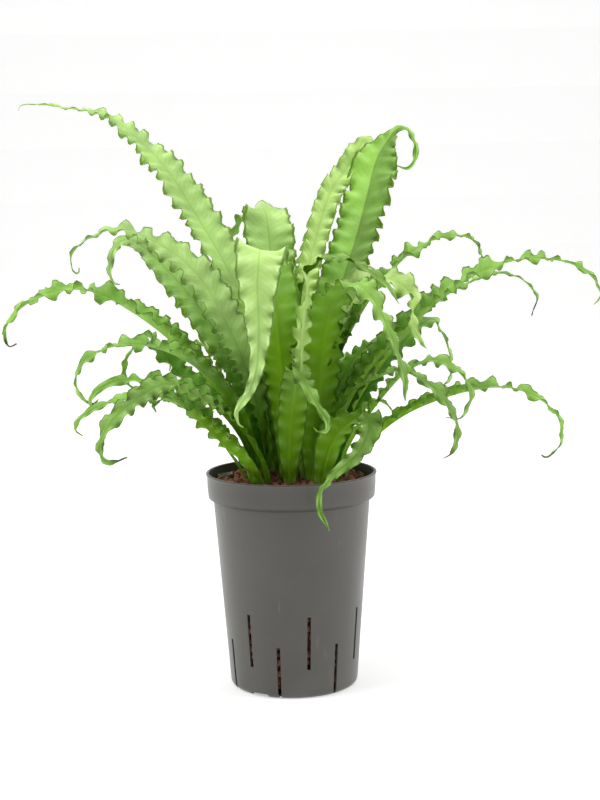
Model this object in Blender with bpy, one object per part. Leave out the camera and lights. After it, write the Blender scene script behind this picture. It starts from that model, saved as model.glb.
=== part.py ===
"""A bird's nest fern with waved fronds, growing in a slotted hydroculture pot.

The pot stands on the surface z = 0 with its axis on Z. The fronds rise from the clay granulate that
fills it and arch out on all sides. Headings are in plan, in degrees from +X towards +Y.
"""

import math
import random
from collections import namedtuple

import bmesh
import bpy
from mathutils import Euler, Matrix, Vector

MM = 0.001
GAP = 0.3 * MM

# The pot: a turned shell with a stepped collar, slots in its lower wall and a notch in its foot.
POT_HEIGHT = 190 * MM
RIM_RADIUS = 75 * MM
COLLAR_RADIUS = 73.2 * MM
COLLAR_FOOT = 169 * MM
NECK_RADIUS = 68.8 * MM
NECK_HEIGHT = 166 * MM
FOOT_RADIUS = 56.5 * MM
FOOT_ROUND = 5 * MM
FLOOR = 2 * MM
WALL = 1.6 * MM
POT_SIDES = 56
SLOT_COUNT = 14
SLOT_WIDTH = 3.2 * MM
FIRST_SLOT = -77.5
HIGH_SLOT = (26 * MM, 73 * MM)
LOW_SLOT = (-1 * MM, 46 * MM)
NOTCH_HEADING = 236
NOTCH_WIDTH = 17 * MM
NOTCH_HEIGHT = 3 * MM

# The gauge shaft, a tube against the pot's wall, and the plug of the water gauge a little way down it.
SHAFT_HEADING = 165
SHAFT_DISTANCE = 60.8 * MM
SHAFT_LEAN = 4.4
SHAFT_RADIUS = 7 * MM
SHAFT_BORE = 5.4 * MM
SHAFT_LENGTH = 165 * MM
SHAFT_TOP = 185.5 * MM
SHAFT_DEPTH = 9 * MM
SHAFT_SIDES = 20

# The granulate: packed clay pellets. Those of its top that lie outside the stems are drawn larger than
# life, from one distance from the pot's axis to another.
FILL_TOP = 184 * MM
FILL_HEAP = 5 * MM
PELLETS = 42
PELLET_RADII = (4.8 * MM, 5.6 * MM)
PELLET_FIELD = (49 * MM, 65.5 * MM)
PELLET_RISE = 1 * MM
PELLET_SEED = 7
GOLDEN_ANGLE = math.pi * (3 - math.sqrt(5))

# The crown that the fronds rise from, and the part of each stem that stands in the granulate.
CROWN = Vector((5 * MM, 0, 0))
STEM_HALF_WIDTH = 4.5 * MM
STEM_THICKNESS = 2.4 * MM

# The blade, and the waves along its edges.
BLADE_THICKNESS = 0.9 * MM
RIB_THICKNESS = 1.8 * MM
WAVE_HEIGHT = 4.5 * MM
HALF_WAVE = 13 * MM
TURN_PER_STATION = math.radians(34)
TIP_HALF_WIDTH = 1.8 * MM
ROLLED_BY = 0.5
STEPS = 24

# Each frond's points are (out, height) in mm: out from the crown's middle along its heading, and
# height above the surface that the pot stands on. A third number is a step to the heading's left.
Frond = namedtuple("Frond", "name tint heading half_width roll points")

FRONDS = (
    # The left side, from the tallest to the lowest.
    Frond("frond_left_1", "light", 152, 22, (0, -18), (
        (17, 168), (20, 220), (30, 275), (47, 330), (71, 374), (108, 424, -6), (133, 455, -10),
        (159, 478, -14), (190, 500, -18), (215, 510, -20), (244, 515, -18), (268, 519, -15),
        (292, 520, -10), (298, 514, -10))),
    Frond("frond_left_2", "light", 177, 22, (0, -42), (
        (25, 168), (29, 220, 6), (38, 270, 16), (53, 312, 21), (74, 352, 19), (92, 374, 16),
        (116, 391, 13), (144, 403, 11), (164, 402, 10), (182, 393, 10), (192, 382, 10),
        (192, 370, 10), (187, 366, 10), (186, 371, 10))),
    Frond("frond_left_3", "mid", 149, 20, (0, -28), (
        (30, 168), (36, 210), (56, 270), (90, 320), (124, 356), (152, 380), (172, 392), (189, 389),
        (199, 372), (198, 354), (188, 351))),
    Frond("frond_left_4", "mid", 179, 17, (0, -12), (
        (31, 168), (36, 205), (49, 242), (75, 282), (110, 318), (147, 340), (178, 352), (205, 351),
        (232, 341), (247, 328), (254, 314), (250, 303), (243, 305))),
    Frond("frond_left_5", "mid", 203, 15, (0, -12), (
        (34, 168), (40, 205), (58, 248), (86, 282), (116, 301), (146, 309), (170, 307), (188, 298),
        (197, 285), (195, 270), (184, 261), (178, 265))),
    Frond("frond_left_6", "mid", 171, 15, (0, -20), (
        (36, 168), (42, 200), (56, 232), (78, 255), (102, 272), (120, 298), (134, 310), (146, 297),
        (154, 282), (152, 268), (142, 262), (135, 268))),
    Frond("frond_left_7", "mid", 209, 13, (0, 15), (
        (38, 168), (43, 195), (56, 226), (80, 254), (110, 272), (140, 279), (168, 281), (186, 274),
        (192, 264), (186, 258))),
    Frond("frond_left_8", "mid", 214, 12, (0, 15), (
        (43, 168), (48, 190), (62, 216), (88, 240), (116, 257), (142, 268), (172, 267), (200, 261),
        (214, 248), (208, 240))),
    Frond("frond_left_9", "light", 230, 13, (0, 10), (
        (38, 168), (44, 198), (60, 228), (86, 252), (116, 270), (146, 278), (174, 270), (196, 252),
        (206, 234), (196, 224))),
    Frond("frond_left_10", "deep", 190, 16, (0, 0), (
        (41, 168), (48, 190), (66, 212), (92, 231), (118, 240), (140, 238), (155, 228), (160, 216))),

    # The front, towards the camera.
    Frond("frond_front_1", "light", 268, 16, (0, 0), (
        (32, 168, -5), (36, 205, -5), (44, 245, -2), (57, 274, 2), (74, 287, 5), (90, 282, 9),
        (99, 266, 16), (101, 250, 23), (95, 245, 21))),
    Frond("frond_front_2", "light", 246, 21, (0, 0), (
        (18, 168), (22, 240), (34, 310), (50, 362), (68, 390), (84, 397), (98, 384, 3), (107, 356, 8),
        (112, 322, 8), (116, 290, 4), (120, 262), (117, 249, -3))),
    Frond("frond_front_3", "light", 309, 25, (0, 5), (
        (24, 168), (28, 228), (38, 288), (52, 337), (69, 360), (88, 363), (107, 352), (125, 332),
        (138, 308), (145, 284), (144, 268))),
    Frond("frond_front_4", "mid", 300, 17, (0, 10), (
        (36, 168), (41, 203, 4), (52, 228, 8), (66, 242, 16), (78, 243, 22), (85, 231, 15),
        (88, 213, 2), (89, 196, -18), (91, 178, -28), (94, 162, -24), (97, 151, -17))),
    Frond("frond_front_5", "deep", 340, 17, (0, 10), (
        (10, 168), (7, 230), (4, 300), (8, 346), (20, 370), (42, 380), (70, 374), (94, 358),
        (110, 338), (118, 322))),
    Frond("frond_front_6", "young", 296, 7, (0, 0), (
        (20, 168), (24, 240), (28, 300), (33, 342), (40, 362), (47, 356))),
    Frond("frond_front_7", "mid", 231, 14, (0, 0), (
        (43, 168), (49, 186), (66, 206), (94, 224), (124, 238), (150, 244), (168, 238), (176, 224))),

    # The right side, from the tallest to the lowest.
    Frond("frond_right_1", "light", 62, 24, (0, 0), (
        (14, 168), (20, 230), (36, 290, -4), (64, 345, -8), (93, 388, -12), (120, 426, -12),
        (148, 464, -11), (168, 485, -14), (182, 496, -20), (193, 496, -28), (196, 482, -33),
        (193, 466, -33), (188, 455, -27), (180, 458, -18))),
    Frond("frond_right_2", "young", 78, 9, (0, 20), (
        (8, 168), (14, 240), (28, 310), (50, 370), (78, 412, -4), (112, 440, -10), (146, 462, -16),
        (170, 474, -20))),
    Frond("frond_right_3", "mid", 35, 16, (0, -10), (
        (20, 168), (26, 225), (48, 288), (80, 334), (116, 368), (150, 386), (182, 392), (206, 387),
        (218, 372), (212, 360))),
    Frond("frond_right_4", "light", 3, 15, (0, 15), (
        (24, 168), (32, 215), (56, 266), (88, 304), (122, 334), (156, 358), (186, 370), (215, 373),
        (243, 368), (262, 356), (270, 341), (264, 331))),
    Frond("frond_right_5", "mid", 19, 15, (0, -10), (
        (30, 168), (39, 210), (63, 257), (99, 301), (136, 334), (170, 352), (200, 358), (222, 351),
        (236, 334), (230, 318))),
    Frond("frond_right_6", "young", 0, 9, (0, 20), (
        (15, 168), (22, 240), (36, 300, 1), (54, 343, 1), (70, 360), (86, 353, -2), (102, 350, -6),
        (114, 358, -9), (121, 344, -12), (114, 326, -16), (112, 308, -19), (124, 296, -21))),
    Frond("frond_right_7", "mid", 30, 15, (0, 10), (
        (36, 168), (44, 205), (66, 246), (100, 284), (128, 308), (146, 316), (158, 302), (166, 282),
        (166, 262), (155, 252))),
    Frond("frond_right_8", "mid", 342, 17, (0, 10), (
        (33, 168), (39, 195), (52, 222), (72, 250), (96, 277), (116, 288), (133, 288), (150, 275),
        (155, 256), (146, 240), (134, 241))),
    Frond("frond_right_9", "light", 325, 15, (0, 10), (
        (27, 168), (33, 215), (43, 246), (60, 264), (84, 277), (111, 281), (130, 273), (147, 254),
        (155, 234), (148, 213), (141, 212))),
    Frond("frond_right_10", "mid", 355, 15, (0, 15), (
        (40, 168), (46, 196), (64, 222), (92, 242), (122, 255), (154, 262), (184, 263), (210, 254),
        (228, 236), (230, 214), (219, 202), (213, 204))),
    Frond("frond_right_11", "deep", 49, 17, (0, 0), (
        (28, 168), (34, 209), (51, 248), (77, 278), (104, 295), (122, 298), (131, 287), (124, 277))),

    # The back, which the camera sees little of.
    Frond("frond_back_1", "light", 110, 18, (0, 0), (
        (27, 168), (35, 240), (47, 300), (57, 352), (65, 398), (79, 419), (98, 414), (112, 394),
        (119, 364), (117, 336))),
    Frond("frond_back_2", "mid", 83, 18, (0, 10), (
        (31, 168), (42, 225), (58, 279), (83, 321), (116, 344), (150, 349), (182, 334), (204, 308),
        (207, 288))),
    Frond("frond_back_3", "mid", 99, 17, (0, -10), (
        (38, 168), (45, 205), (61, 248), (92, 282), (124, 300), (156, 306), (180, 288), (190, 262))),
    Frond("frond_back_4", "mid", 129, 17, (0, 10), (
        (36, 168), (43, 208), (62, 252), (94, 286), (128, 306), (158, 310), (184, 294), (196, 274))),
    Frond("frond_back_5", "mid", 68, 17, (0, 10), (
        (36, 168), (42, 200), (62, 236), (94, 264), (130, 278), (162, 272), (185, 252), (191, 232))),
    Frond("frond_back_6", "deep", 122, 16, (0, 0), (
        (41, 168), (48, 196), (70, 226), (104, 246), (138, 250), (166, 236), (180, 212))),
    Frond("frond_back_7", "deep", 80, 16, (0, 0), (
        (41, 168), (48, 196), (70, 224), (102, 242), (134, 244), (160, 228), (172, 206))),
    Frond("frond_back_8", "deep", 54, 15, (0, 0), (
        (42, 168), (50, 194), (72, 220), (104, 236), (134, 236), (158, 220), (168, 200))),
)


def smooth(x):
    """Rises from 0 to 1 as x does, level at both ends."""
    x = min(max(x, 0.0), 1.0)
    return x * x * (3 - 2 * x)


def half_width_at(frond, share):
    """Half the blade's width: a stem, then the full width before the middle, then a long taper."""
    widened = smooth((share - 0.05) / 0.38)
    narrowed = smooth((share - 0.5) / 0.42)
    full = STEM_HALF_WIDTH + (frond.half_width * MM - STEM_HALF_WIDTH) * widened
    return full + (TIP_HALF_WIDTH - full) * narrowed


def midrib(frond):
    """A smooth curve through the frond's points, as closely spaced positions."""
    heading = math.radians(frond.heading)
    outward = Vector((math.cos(heading), math.sin(heading), 0))
    leftward = Vector((-math.sin(heading), math.cos(heading), 0))
    knots = []
    for point in frond.points:
        left = point[2] if len(point) > 2 else 0
        plan = CROWN + (outward * point[0] + leftward * left) * MM
        knots.append(Vector((plan.x, plan.y, point[1] * MM)))
    before = knots[0] - Vector((0, 0, 20 * MM))
    after = 2 * knots[-1] - knots[-2]
    line = [before] + knots + [after]
    places = []
    for a, b, c, d in zip(line, line[1:], line[2:], line[3:]):
        for step in range(STEPS):
            t = step / STEPS
            places.append(
                0.5 * (2 * b + (c - a) * t + (2 * a - 5 * b + 4 * c - d) * t * t
                       + (3 * b - a - 3 * c + d) * t * t * t))
    places.append(knots[-1])
    return places


def course(frond):
    """The midrib's stations as (distance, position, along, across, up), with the least twist."""
    places = midrib(frond)
    heading = math.radians(frond.heading)
    across = Vector((-math.sin(heading), math.cos(heading), 0))
    stations = []
    distance = 0
    for index, place in enumerate(places):
        ahead = places[min(index + 1, len(places) - 1)]
        behind = places[max(index - 1, 0)]
        along = (ahead - behind).normalized()
        across = (across - along * across.dot(along)).normalized()
        if index:
            distance += (place - behind).length
        stations.append((distance, place, along, across, along.cross(across)))
    return stations


def rolled(frond, station, length):
    """A station turned about the midrib by the frond's roll, which grows from foot to tip."""
    distance, place, along, across, up = station
    foot_roll, tip_roll = frond.roll
    share = distance / length
    degrees = foot_roll + (tip_roll - foot_roll) * smooth(share / ROLLED_BY)
    roll = Matrix.Rotation(math.radians(degrees), 3, along)
    return distance, place, along, roll @ across, roll @ up


def picked(frond):
    """The few stations that the solid needs: one each half wave, and more where the midrib curls."""
    stations = course(frond)
    length = stations[-1][0]
    chosen = [stations[0]]
    for station in stations:
        run = station[0] - chosen[-1][0]
        turned = chosen[-1][2].angle(station[2])
        if run >= HALF_WAVE or (turned > TURN_PER_STATION and run > 2 * MM):
            chosen.append(station)
    if length - chosen[-1][0] > 3 * MM:
        chosen.append(stations[-1])
    return [rolled(frond, station, length) for station in chosen], length


def section(frond, station, length, index):
    """The six corners of the blade at a station: left, rib and right above, then below."""
    distance, place, along, across, up = station
    half = half_width_at(frond, distance / length)
    grown = smooth((distance - 25 * MM) / (60 * MM))
    thick = STEM_THICKNESS + (BLADE_THICKNESS - STEM_THICKNESS) * grown
    rib = STEM_THICKNESS + (RIB_THICKNESS - STEM_THICKNESS) * grown
    wave = WAVE_HEIGHT * grown * min(half / (11 * MM), 1) ** 2
    fold = 0.18 * half * grown
    sign = 1 if index % 2 else -1
    left = place + across * half + up * (fold + sign * wave)
    right = place - across * half + up * (fold - sign * wave)
    return [
        left + up * thick / 2,
        place + up * thick / 2,
        right + up * thick / 2,
        right - up * thick / 2,
        place - up * (rib - thick / 2),
        left - up * thick / 2,
    ]


def mesh_object(name, shape, material):
    """An object made of this bmesh, whose faces already point outward."""
    mesh = bpy.data.meshes.new(name)
    shape.to_mesh(mesh)
    shape.free()
    if material:
        mesh.materials.append(material)
    made = bpy.data.objects.new(name, mesh)
    bpy.context.scene.collection.objects.link(made)
    return made


def blade(frond, material):
    """A frond as one thin closed solid, with its two faces cut into the same triangles."""
    stations, length = picked(frond)
    shape = bmesh.new()
    rings = []
    for index, station in enumerate(stations):
        corners = section(frond, station, length, index)
        rings.append([shape.verts.new(corner) for corner in corners])
    for index, (low, high) in enumerate(zip(rings, rings[1:])):
        for a, b in ((0, 1), (1, 2)):
            c, d = 5 - a, 5 - b
            if index % 2 == 0:
                shape.faces.new((low[a], low[b], high[b]))
                shape.faces.new((low[a], high[b], high[a]))
                shape.faces.new((low[c], high[d], low[d]))
                shape.faces.new((low[c], high[c], high[d]))
            else:
                shape.faces.new((low[a], low[b], high[a]))
                shape.faces.new((low[b], high[b], high[a]))
                shape.faces.new((low[c], high[c], low[d]))
                shape.faces.new((low[d], high[c], high[d]))
        for a, b in ((2, 3), (5, 0)):
            shape.faces.new((low[a], low[b], high[b], high[a]))
    foot, tip = rings[0], rings[-1]
    shape.faces.new((foot[5], foot[4], foot[1], foot[0]))
    shape.faces.new((foot[4], foot[3], foot[2], foot[1]))
    shape.faces.new((tip[0], tip[1], tip[4], tip[5]))
    shape.faces.new((tip[1], tip[2], tip[3], tip[4]))
    return mesh_object(frond.name, shape, material)


def box(name, size, place, turn=0.0):
    """A plain block of this size, centred at place and turned about Z."""
    shape = bmesh.new()
    bmesh.ops.create_cube(shape, size=1)
    matrix = Matrix.Translation(place) @ Matrix.Rotation(turn, 4, "Z") @ Matrix.Diagonal((*size, 1))
    bmesh.ops.transform(shape, matrix=matrix, verts=shape.verts)
    return mesh_object(name, shape, None)


def turned(name, profile, sides, material, start=0.0):
    """A solid of revolution about Z. The profile is (radius, height), closed where it meets the axis."""
    shape = bmesh.new()
    rings = []
    for radius, height in profile:
        if radius == 0:
            rings.append([shape.verts.new((0, 0, height))] * sides)
            continue
        ring = []
        for side in range(sides):
            angle = start + 2 * math.pi * side / sides
            ring.append(shape.verts.new((radius * math.cos(angle), radius * math.sin(angle), height)))
        rings.append(ring)
    for low, high in zip(rings, rings[1:]):
        for side in range(sides):
            after = (side + 1) % sides
            corners = []
            for corner in (low[side], low[after], high[after], high[side]):
                if corner not in corners:
                    corners.append(corner)
            shape.faces.new(corners)
    return mesh_object(name, shape, material)


def combine(target, others, operation):
    """The target with the others added or taken away in one exact Boolean. The others are removed."""
    joined = bpy.data.collections.new("others")
    bpy.context.scene.collection.children.link(joined)
    for other in others:
        joined.objects.link(other)
    modifier = target.modifiers.new("combine", "BOOLEAN")
    modifier.operation = operation
    modifier.solver = "EXACT"
    modifier.operand_type = "COLLECTION"
    modifier.collection = joined
    graph = bpy.context.evaluated_depsgraph_get()
    result = bpy.data.meshes.new_from_object(target.evaluated_get(graph))
    target.modifiers.clear()
    target.data = result
    for other in others:
        bpy.data.objects.remove(other)
    bpy.data.collections.remove(joined)


def drop_scraps(target):
    """Keeps the largest of the target's separate shells."""
    shape = bmesh.new()
    shape.from_mesh(target.data)
    unseen = set(shape.verts)
    shells = []
    while unseen:
        found = {unseen.pop()}
        edge = list(found)
        while edge:
            for link in edge.pop().link_edges:
                for vertex in link.verts:
                    if vertex not in found:
                        found.add(vertex)
                        edge.append(vertex)
        unseen -= found
        shells.append(found)
    shells.sort(key=len)
    for shell in shells[:-1]:
        bmesh.ops.delete(shape, geom=list(shell), context="VERTS")
    shape.to_mesh(target.data)
    shape.free()


def paint(name, colour, roughness):
    """A plain surface of its own for one object."""
    material = bpy.data.materials.new(name)
    material.use_nodes = True
    shader = material.node_tree.nodes["Principled BSDF"]
    shader.inputs["Base Color"].default_value = (*colour, 1)
    shader.inputs["Roughness"].default_value = roughness
    return material


def pot_inside():
    """The pot's inner outline as (radius, height), from the rim down to the floor."""
    foot = FOOT_RADIUS - WALL
    return [
        (RIM_RADIUS - WALL, POT_HEIGHT),
        (COLLAR_RADIUS - WALL, COLLAR_FOOT + 2 * MM),
        (NECK_RADIUS - WALL, NECK_HEIGHT + 2 * MM),
        (foot, FOOT_ROUND + 1 * MM),
        (foot - 4 * MM, FLOOR),
    ]


def bore_at(height):
    """The pot's inner radius at a height."""
    outline = pot_inside()
    for (wide, top), (narrow, foot) in zip(outline, outline[1:]):
        if height >= foot:
            return narrow + (wide - narrow) * (height - foot) / (top - foot)
    return outline[-1][0]


def pot():
    """The slotted pot, open above."""
    outside = [
        (0, 0),
        (FOOT_RADIUS - FOOT_ROUND, 0),
        (FOOT_RADIUS - FOOT_ROUND * 0.3, FOOT_ROUND * 0.35),
        (FOOT_RADIUS, FOOT_ROUND),
        (NECK_RADIUS, NECK_HEIGHT),
        (COLLAR_RADIUS, COLLAR_FOOT),
        (RIM_RADIUS, POT_HEIGHT - 1.2 * MM),
        (RIM_RADIUS - 0.6 * MM, POT_HEIGHT),
    ]
    material = paint("pot_plastic", (0.13, 0.125, 0.115), 0.45)
    shell = turned("pot", outside + pot_inside() + [(0, FLOOR)], POT_SIDES, material)
    cutters = []
    for index in range(SLOT_COUNT):
        angle = math.radians(FIRST_SLOT + index * 360 / SLOT_COUNT)
        foot, top = HIGH_SLOT if index % 2 == 0 else LOW_SLOT
        place = (FOOT_RADIUS * math.cos(angle), FOOT_RADIUS * math.sin(angle), (foot + top) / 2)
        cutters.append(box("slot", (16 * MM, SLOT_WIDTH, top - foot), place, angle))
    angle = math.radians(NOTCH_HEADING)
    place = (FOOT_RADIUS * math.cos(angle), FOOT_RADIUS * math.sin(angle), 0)
    cutters.append(box("notch", (5 * MM, NOTCH_WIDTH, 2 * NOTCH_HEIGHT), place, angle))
    combine(shell, cutters, "DIFFERENCE")
    return shell


def shaft_matrix():
    """Where the shaft's mouth is: near the wall, leaning as the wall does."""
    heading = Matrix.Rotation(math.radians(SHAFT_HEADING), 4, "Z")
    mouth = Matrix.Translation((SHAFT_DISTANCE, 0, SHAFT_TOP))
    return heading @ mouth @ Matrix.Rotation(math.radians(SHAFT_LEAN), 4, "Y")


def gauge_shaft():
    """The water gauge's shaft, with its plug a little below the mouth."""
    profile = [
        (0, -SHAFT_LENGTH),
        (SHAFT_RADIUS, -SHAFT_LENGTH),
        (SHAFT_RADIUS, 0),
        (SHAFT_BORE, 0),
        (SHAFT_BORE, -SHAFT_DEPTH),
        (0, -SHAFT_DEPTH),
    ]
    shaft = turned("gauge_shaft", profile, SHAFT_SIDES, paint("shaft_plastic", (0.16, 0.17, 0.14), 0.5))
    shaft.data.transform(shaft_matrix())
    return shaft


def heaped(radius):
    """The height of the granulate's top at this distance from the pot's axis: a very low cone."""
    return FILL_TOP - FILL_HEAP * radius / NECK_RADIUS


def granulate_outline():
    """The granulate's outline as (radius, height), from its foot to its middle."""
    outline = [(0, FLOOR + GAP), (pot_inside()[-1][0] - 1.5 * GAP, FLOOR + GAP)]
    edge = heaped(COLLAR_RADIUS - WALL)
    heights = (FOOT_ROUND + 1.6 * MM, NECK_HEIGHT + 1.9 * MM, COLLAR_FOOT + 2.4 * MM, edge)
    outline += [(bore_at(height) - GAP, height) for height in heights]
    return outline + [(0, FILL_TOP)]


def pellet(index, draw):
    """One rounded pellet, half sunk in the granulate's top."""
    low, high = PELLET_FIELD
    distance = math.sqrt(low**2 + (high**2 - low**2) * (index + 0.5) / PELLETS)
    angle = index * GOLDEN_ANGLE
    place = (distance * math.cos(angle), distance * math.sin(angle), heaped(distance) + PELLET_RISE)
    shape = bmesh.new()
    bmesh.ops.create_icosphere(shape, subdivisions=1, radius=draw.uniform(*PELLET_RADII))
    tumble = Euler((draw.uniform(0, math.pi), 0, draw.uniform(0, math.pi))).to_matrix().to_4x4()
    bmesh.ops.transform(shape, matrix=Matrix.Translation(place) @ tumble, verts=shape.verts)
    return mesh_object("pellet", shape, None)


def granulate(fronds):
    """The packed pellets as one closed body, with a plain hole for each stem and for the shaft."""
    body = turned("granulate", granulate_outline(), POT_SIDES, paint("fired_clay", (0.30, 0.11, 0.06), 0.9))
    draw = random.Random(PELLET_SEED)
    profile = [
        (0, -SHAFT_LENGTH - GAP),
        (SHAFT_RADIUS + GAP, -SHAFT_LENGTH - GAP),
        (SHAFT_RADIUS + GAP, 10 * MM),
        (0, 10 * MM),
    ]
    well = turned("well", profile, SHAFT_SIDES, None)
    well.data.transform(shaft_matrix())
    combine(body, [pellet(index, draw) for index in range(PELLETS)], "UNION")
    combine(body, [socket(frond) for frond in fronds] + [well], "DIFFERENCE")
    drop_scraps(body)
    return body


def socket(frond):
    """The hole that a frond's stem stands in: the stem itself, grown by the gap on every side."""
    stations, length = picked(frond)
    shape = bmesh.new()
    rings = []
    for index, station in enumerate(stations[:3]):
        place, along, across, up = station[1:]
        if index == 0:
            place = place - along * GAP
        side = across * (half_width_at(frond, station[0] / length) + GAP)
        over = up * (STEM_THICKNESS / 2 + GAP)
        corners = (place + side + over, place - side + over, place - side - over, place + side - over)
        rings.append([shape.verts.new(corner) for corner in corners])
    for low, high in zip(rings, rings[1:]):
        for a in range(4):
            b = (a + 1) % 4
            shape.faces.new((low[a], low[b], high[b], high[a]))
    shape.faces.new(reversed(rings[0]))
    shape.faces.new(rings[-1])
    return mesh_object("socket", shape, None)


TINTS = {
    "light": (0.36, 0.58, 0.20),
    "mid": (0.18, 0.38, 0.08),
    "deep": (0.08, 0.20, 0.03),
    "young": (0.52, 0.70, 0.22),
}


def build():
    for leftover in list(bpy.data.objects):
        bpy.data.objects.remove(leftover)
    pot()
    gauge_shaft()
    granulate(FRONDS)
    for frond in FRONDS:
        blade(frond, paint(frond.name + "_leaf", TINTS[frond.tint], 0.4))


build()
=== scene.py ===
"""The looks of a bird's nest fern in a slotted culture pot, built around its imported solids.

Sizes are in metres, in the frame of the solids: the pot stands on z = 0 with its axis on Z.
"""
import math
import random
from collections import namedtuple

import bmesh
import bpy
from mathutils import Matrix, Vector


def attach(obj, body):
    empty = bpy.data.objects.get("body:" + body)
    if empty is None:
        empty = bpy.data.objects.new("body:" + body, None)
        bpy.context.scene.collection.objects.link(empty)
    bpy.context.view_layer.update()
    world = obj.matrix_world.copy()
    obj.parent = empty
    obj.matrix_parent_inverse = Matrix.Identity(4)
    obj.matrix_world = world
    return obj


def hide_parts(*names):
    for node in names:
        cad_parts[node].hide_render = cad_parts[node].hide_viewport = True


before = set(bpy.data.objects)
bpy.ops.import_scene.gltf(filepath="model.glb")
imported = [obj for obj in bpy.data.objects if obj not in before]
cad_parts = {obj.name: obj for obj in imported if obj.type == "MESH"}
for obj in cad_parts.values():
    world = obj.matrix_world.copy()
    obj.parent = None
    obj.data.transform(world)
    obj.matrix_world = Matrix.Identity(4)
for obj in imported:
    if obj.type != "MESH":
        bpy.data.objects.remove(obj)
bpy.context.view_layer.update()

MM = 0.001

# The culture pot: one shell of grey polypropylene, moulded in one shot with a stepped collar under its
# rim. Fourteen slots in its lower wall, high and low by turns, let water in, and one shallow notch in
# its foot lets it drain. Handling has left faint upright scuffs on it.

POT_HEIGHT = 190 * MM
RIM_RADIUS = 75 * MM
COLLAR_RADIUS = 73.2 * MM
COLLAR_FOOT = 169 * MM
NECK_RADIUS = 68.8 * MM
NECK_HEIGHT = 166 * MM
FOOT_RADIUS = 56.5 * MM
FOOT_ROUND = 5 * MM
POT_FLOOR = 2 * MM
POT_WALL = 1.6 * MM
LIP_WIDTH = 2.6 * MM
POT_SIDES = 224
SLOT_COUNT = 14
SLOT_WIDTH = 3.2 * MM
FIRST_SLOT = -77.5
HIGH_SLOT = (26 * MM, 73 * MM)
LOW_SLOT = (-1 * MM, 46 * MM)
NOTCH_HEADING = 236
NOTCH_WIDTH = 17 * MM
NOTCH_HEIGHT = 3 * MM
POT_SHARP = math.radians(32)

POT_GREY = (0.073, 0.070, 0.063)
POT_SCUFF = (0.17, 0.165, 0.15)


def node(tree, kind, inputs=None, **settings):
    """A new node with these settings. Each input, by name or number, is given a value or a link."""
    made = tree.nodes.new(kind)
    for name, value in settings.items():
        setattr(made, name, value)
    for key, value in (inputs or {}).items():
        if isinstance(value, bpy.types.NodeSocket):
            tree.links.new(value, made.inputs[key])
        else:
            made.inputs[key].default_value = value
    return made


def maths(tree, operation, *values, clamp=False):
    """The outcome of one sum on these values or sockets."""
    return node(tree, "ShaderNodeMath", dict(enumerate(values)), operation=operation, use_clamp=clamp).outputs[0]


def vectors(tree, operation, *values):
    """The outcome of one sum on these vectors."""
    return node(tree, "ShaderNodeVectorMath", dict(enumerate(values)), operation=operation).outputs[0]


def stretched(tree, vector, factor):
    """A vector times a number."""
    return node(tree, "ShaderNodeVectorMath", {0: vector, "Scale": factor}, operation="SCALE").outputs[0]


def ranged(tree, value, low, high, to_low=0.0, to_high=1.0, kind="SMOOTHSTEP"):
    """A value eased from one range to another."""
    inputs = {"Value": value, "From Min": low, "From Max": high, "To Min": to_low, "To Max": to_high}
    return node(tree, "ShaderNodeMapRange", inputs, interpolation_type=kind).outputs[0]


def mixed(tree, factor, first, second, blend="MIX"):
    """Two colours mixed by a factor."""
    inputs = {0: factor, 6: first, 7: second}
    return node(tree, "ShaderNodeMix", inputs, data_type="RGBA", blend_type=blend).outputs[2]


def colour(red, green, blue):
    return (red, green, blue, 1)


def new_material(name, plain):
    """A material, its tree and its Principled shader, with constant values set on the shader."""
    material = bpy.data.materials.new(name)
    material.use_nodes = True
    shader = material.node_tree.nodes["Principled BSDF"]
    for key, value in plain.items():
        shader.inputs[key].default_value = value
    return material, material.node_tree, shader


def new_group(name, kind, inputs, outputs):
    """An empty node group with these named sockets, as (tree, its inputs, its output node)."""
    tree = bpy.data.node_groups.new(name, kind)
    for direction, sockets in (("INPUT", inputs), ("OUTPUT", outputs)):
        for label, (socket, value) in sockets.items():
            made = tree.interface.new_socket(label, in_out=direction, socket_type=socket)
            if value is not None:
                made.default_value = value
    return tree, tree.nodes.new("NodeGroupInput").outputs, tree.nodes.new("NodeGroupOutput")


def shape_with(target, tree, **values):
    """Runs a Geometry Nodes tree on an object, and keeps the outcome as the object's plain mesh."""
    modifier = target.modifiers.new(tree.name, "NODES")
    modifier.node_group = tree
    for item in tree.interface.items_tree:
        if item.item_type == "SOCKET" and item.in_out == "INPUT" and item.name in values:
            modifier[item.identifier] = values[item.name]
    graph = bpy.context.evaluated_depsgraph_get()
    made = bpy.data.meshes.new_from_object(target.evaluated_get(graph))
    target.modifiers.clear()
    target.data = made


def new_object(name, shape):
    """An object made of a bmesh."""
    mesh = bpy.data.meshes.new(name)
    shape.to_mesh(mesh)
    shape.free()
    made = bpy.data.objects.new(name, mesh)
    bpy.context.scene.collection.objects.link(made)
    return made


def turned(name, profile, sides):
    """A solid of revolution about Z. The profile is (radius, height), and starts and ends on the axis."""
    shape = bmesh.new()
    rings = []
    for radius, height in profile:
        if radius == 0:
            rings.append([shape.verts.new((0, 0, height))] * sides)
            continue
        angles = [2 * math.pi * side / sides for side in range(sides)]
        rings.append([shape.verts.new((radius * math.cos(a), radius * math.sin(a), height)) for a in angles])
    for low, high in zip(rings, rings[1:]):
        for side in range(sides):
            after = (side + 1) % sides
            corners = []
            for corner in (low[side], low[after], high[after], high[side]):
                if corner not in corners:
                    corners.append(corner)
            shape.faces.new(corners)
    return new_object(name, shape)


def arc(centre, radius, start, end, steps):
    """Points of a rounding in a profile. Angles are in degrees from the outward direction."""
    angles = [math.radians(start + (end - start) * step / steps) for step in range(steps + 1)]
    return [(centre[0] + radius * math.cos(a), centre[1] + radius * math.sin(a)) for a in angles]


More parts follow.
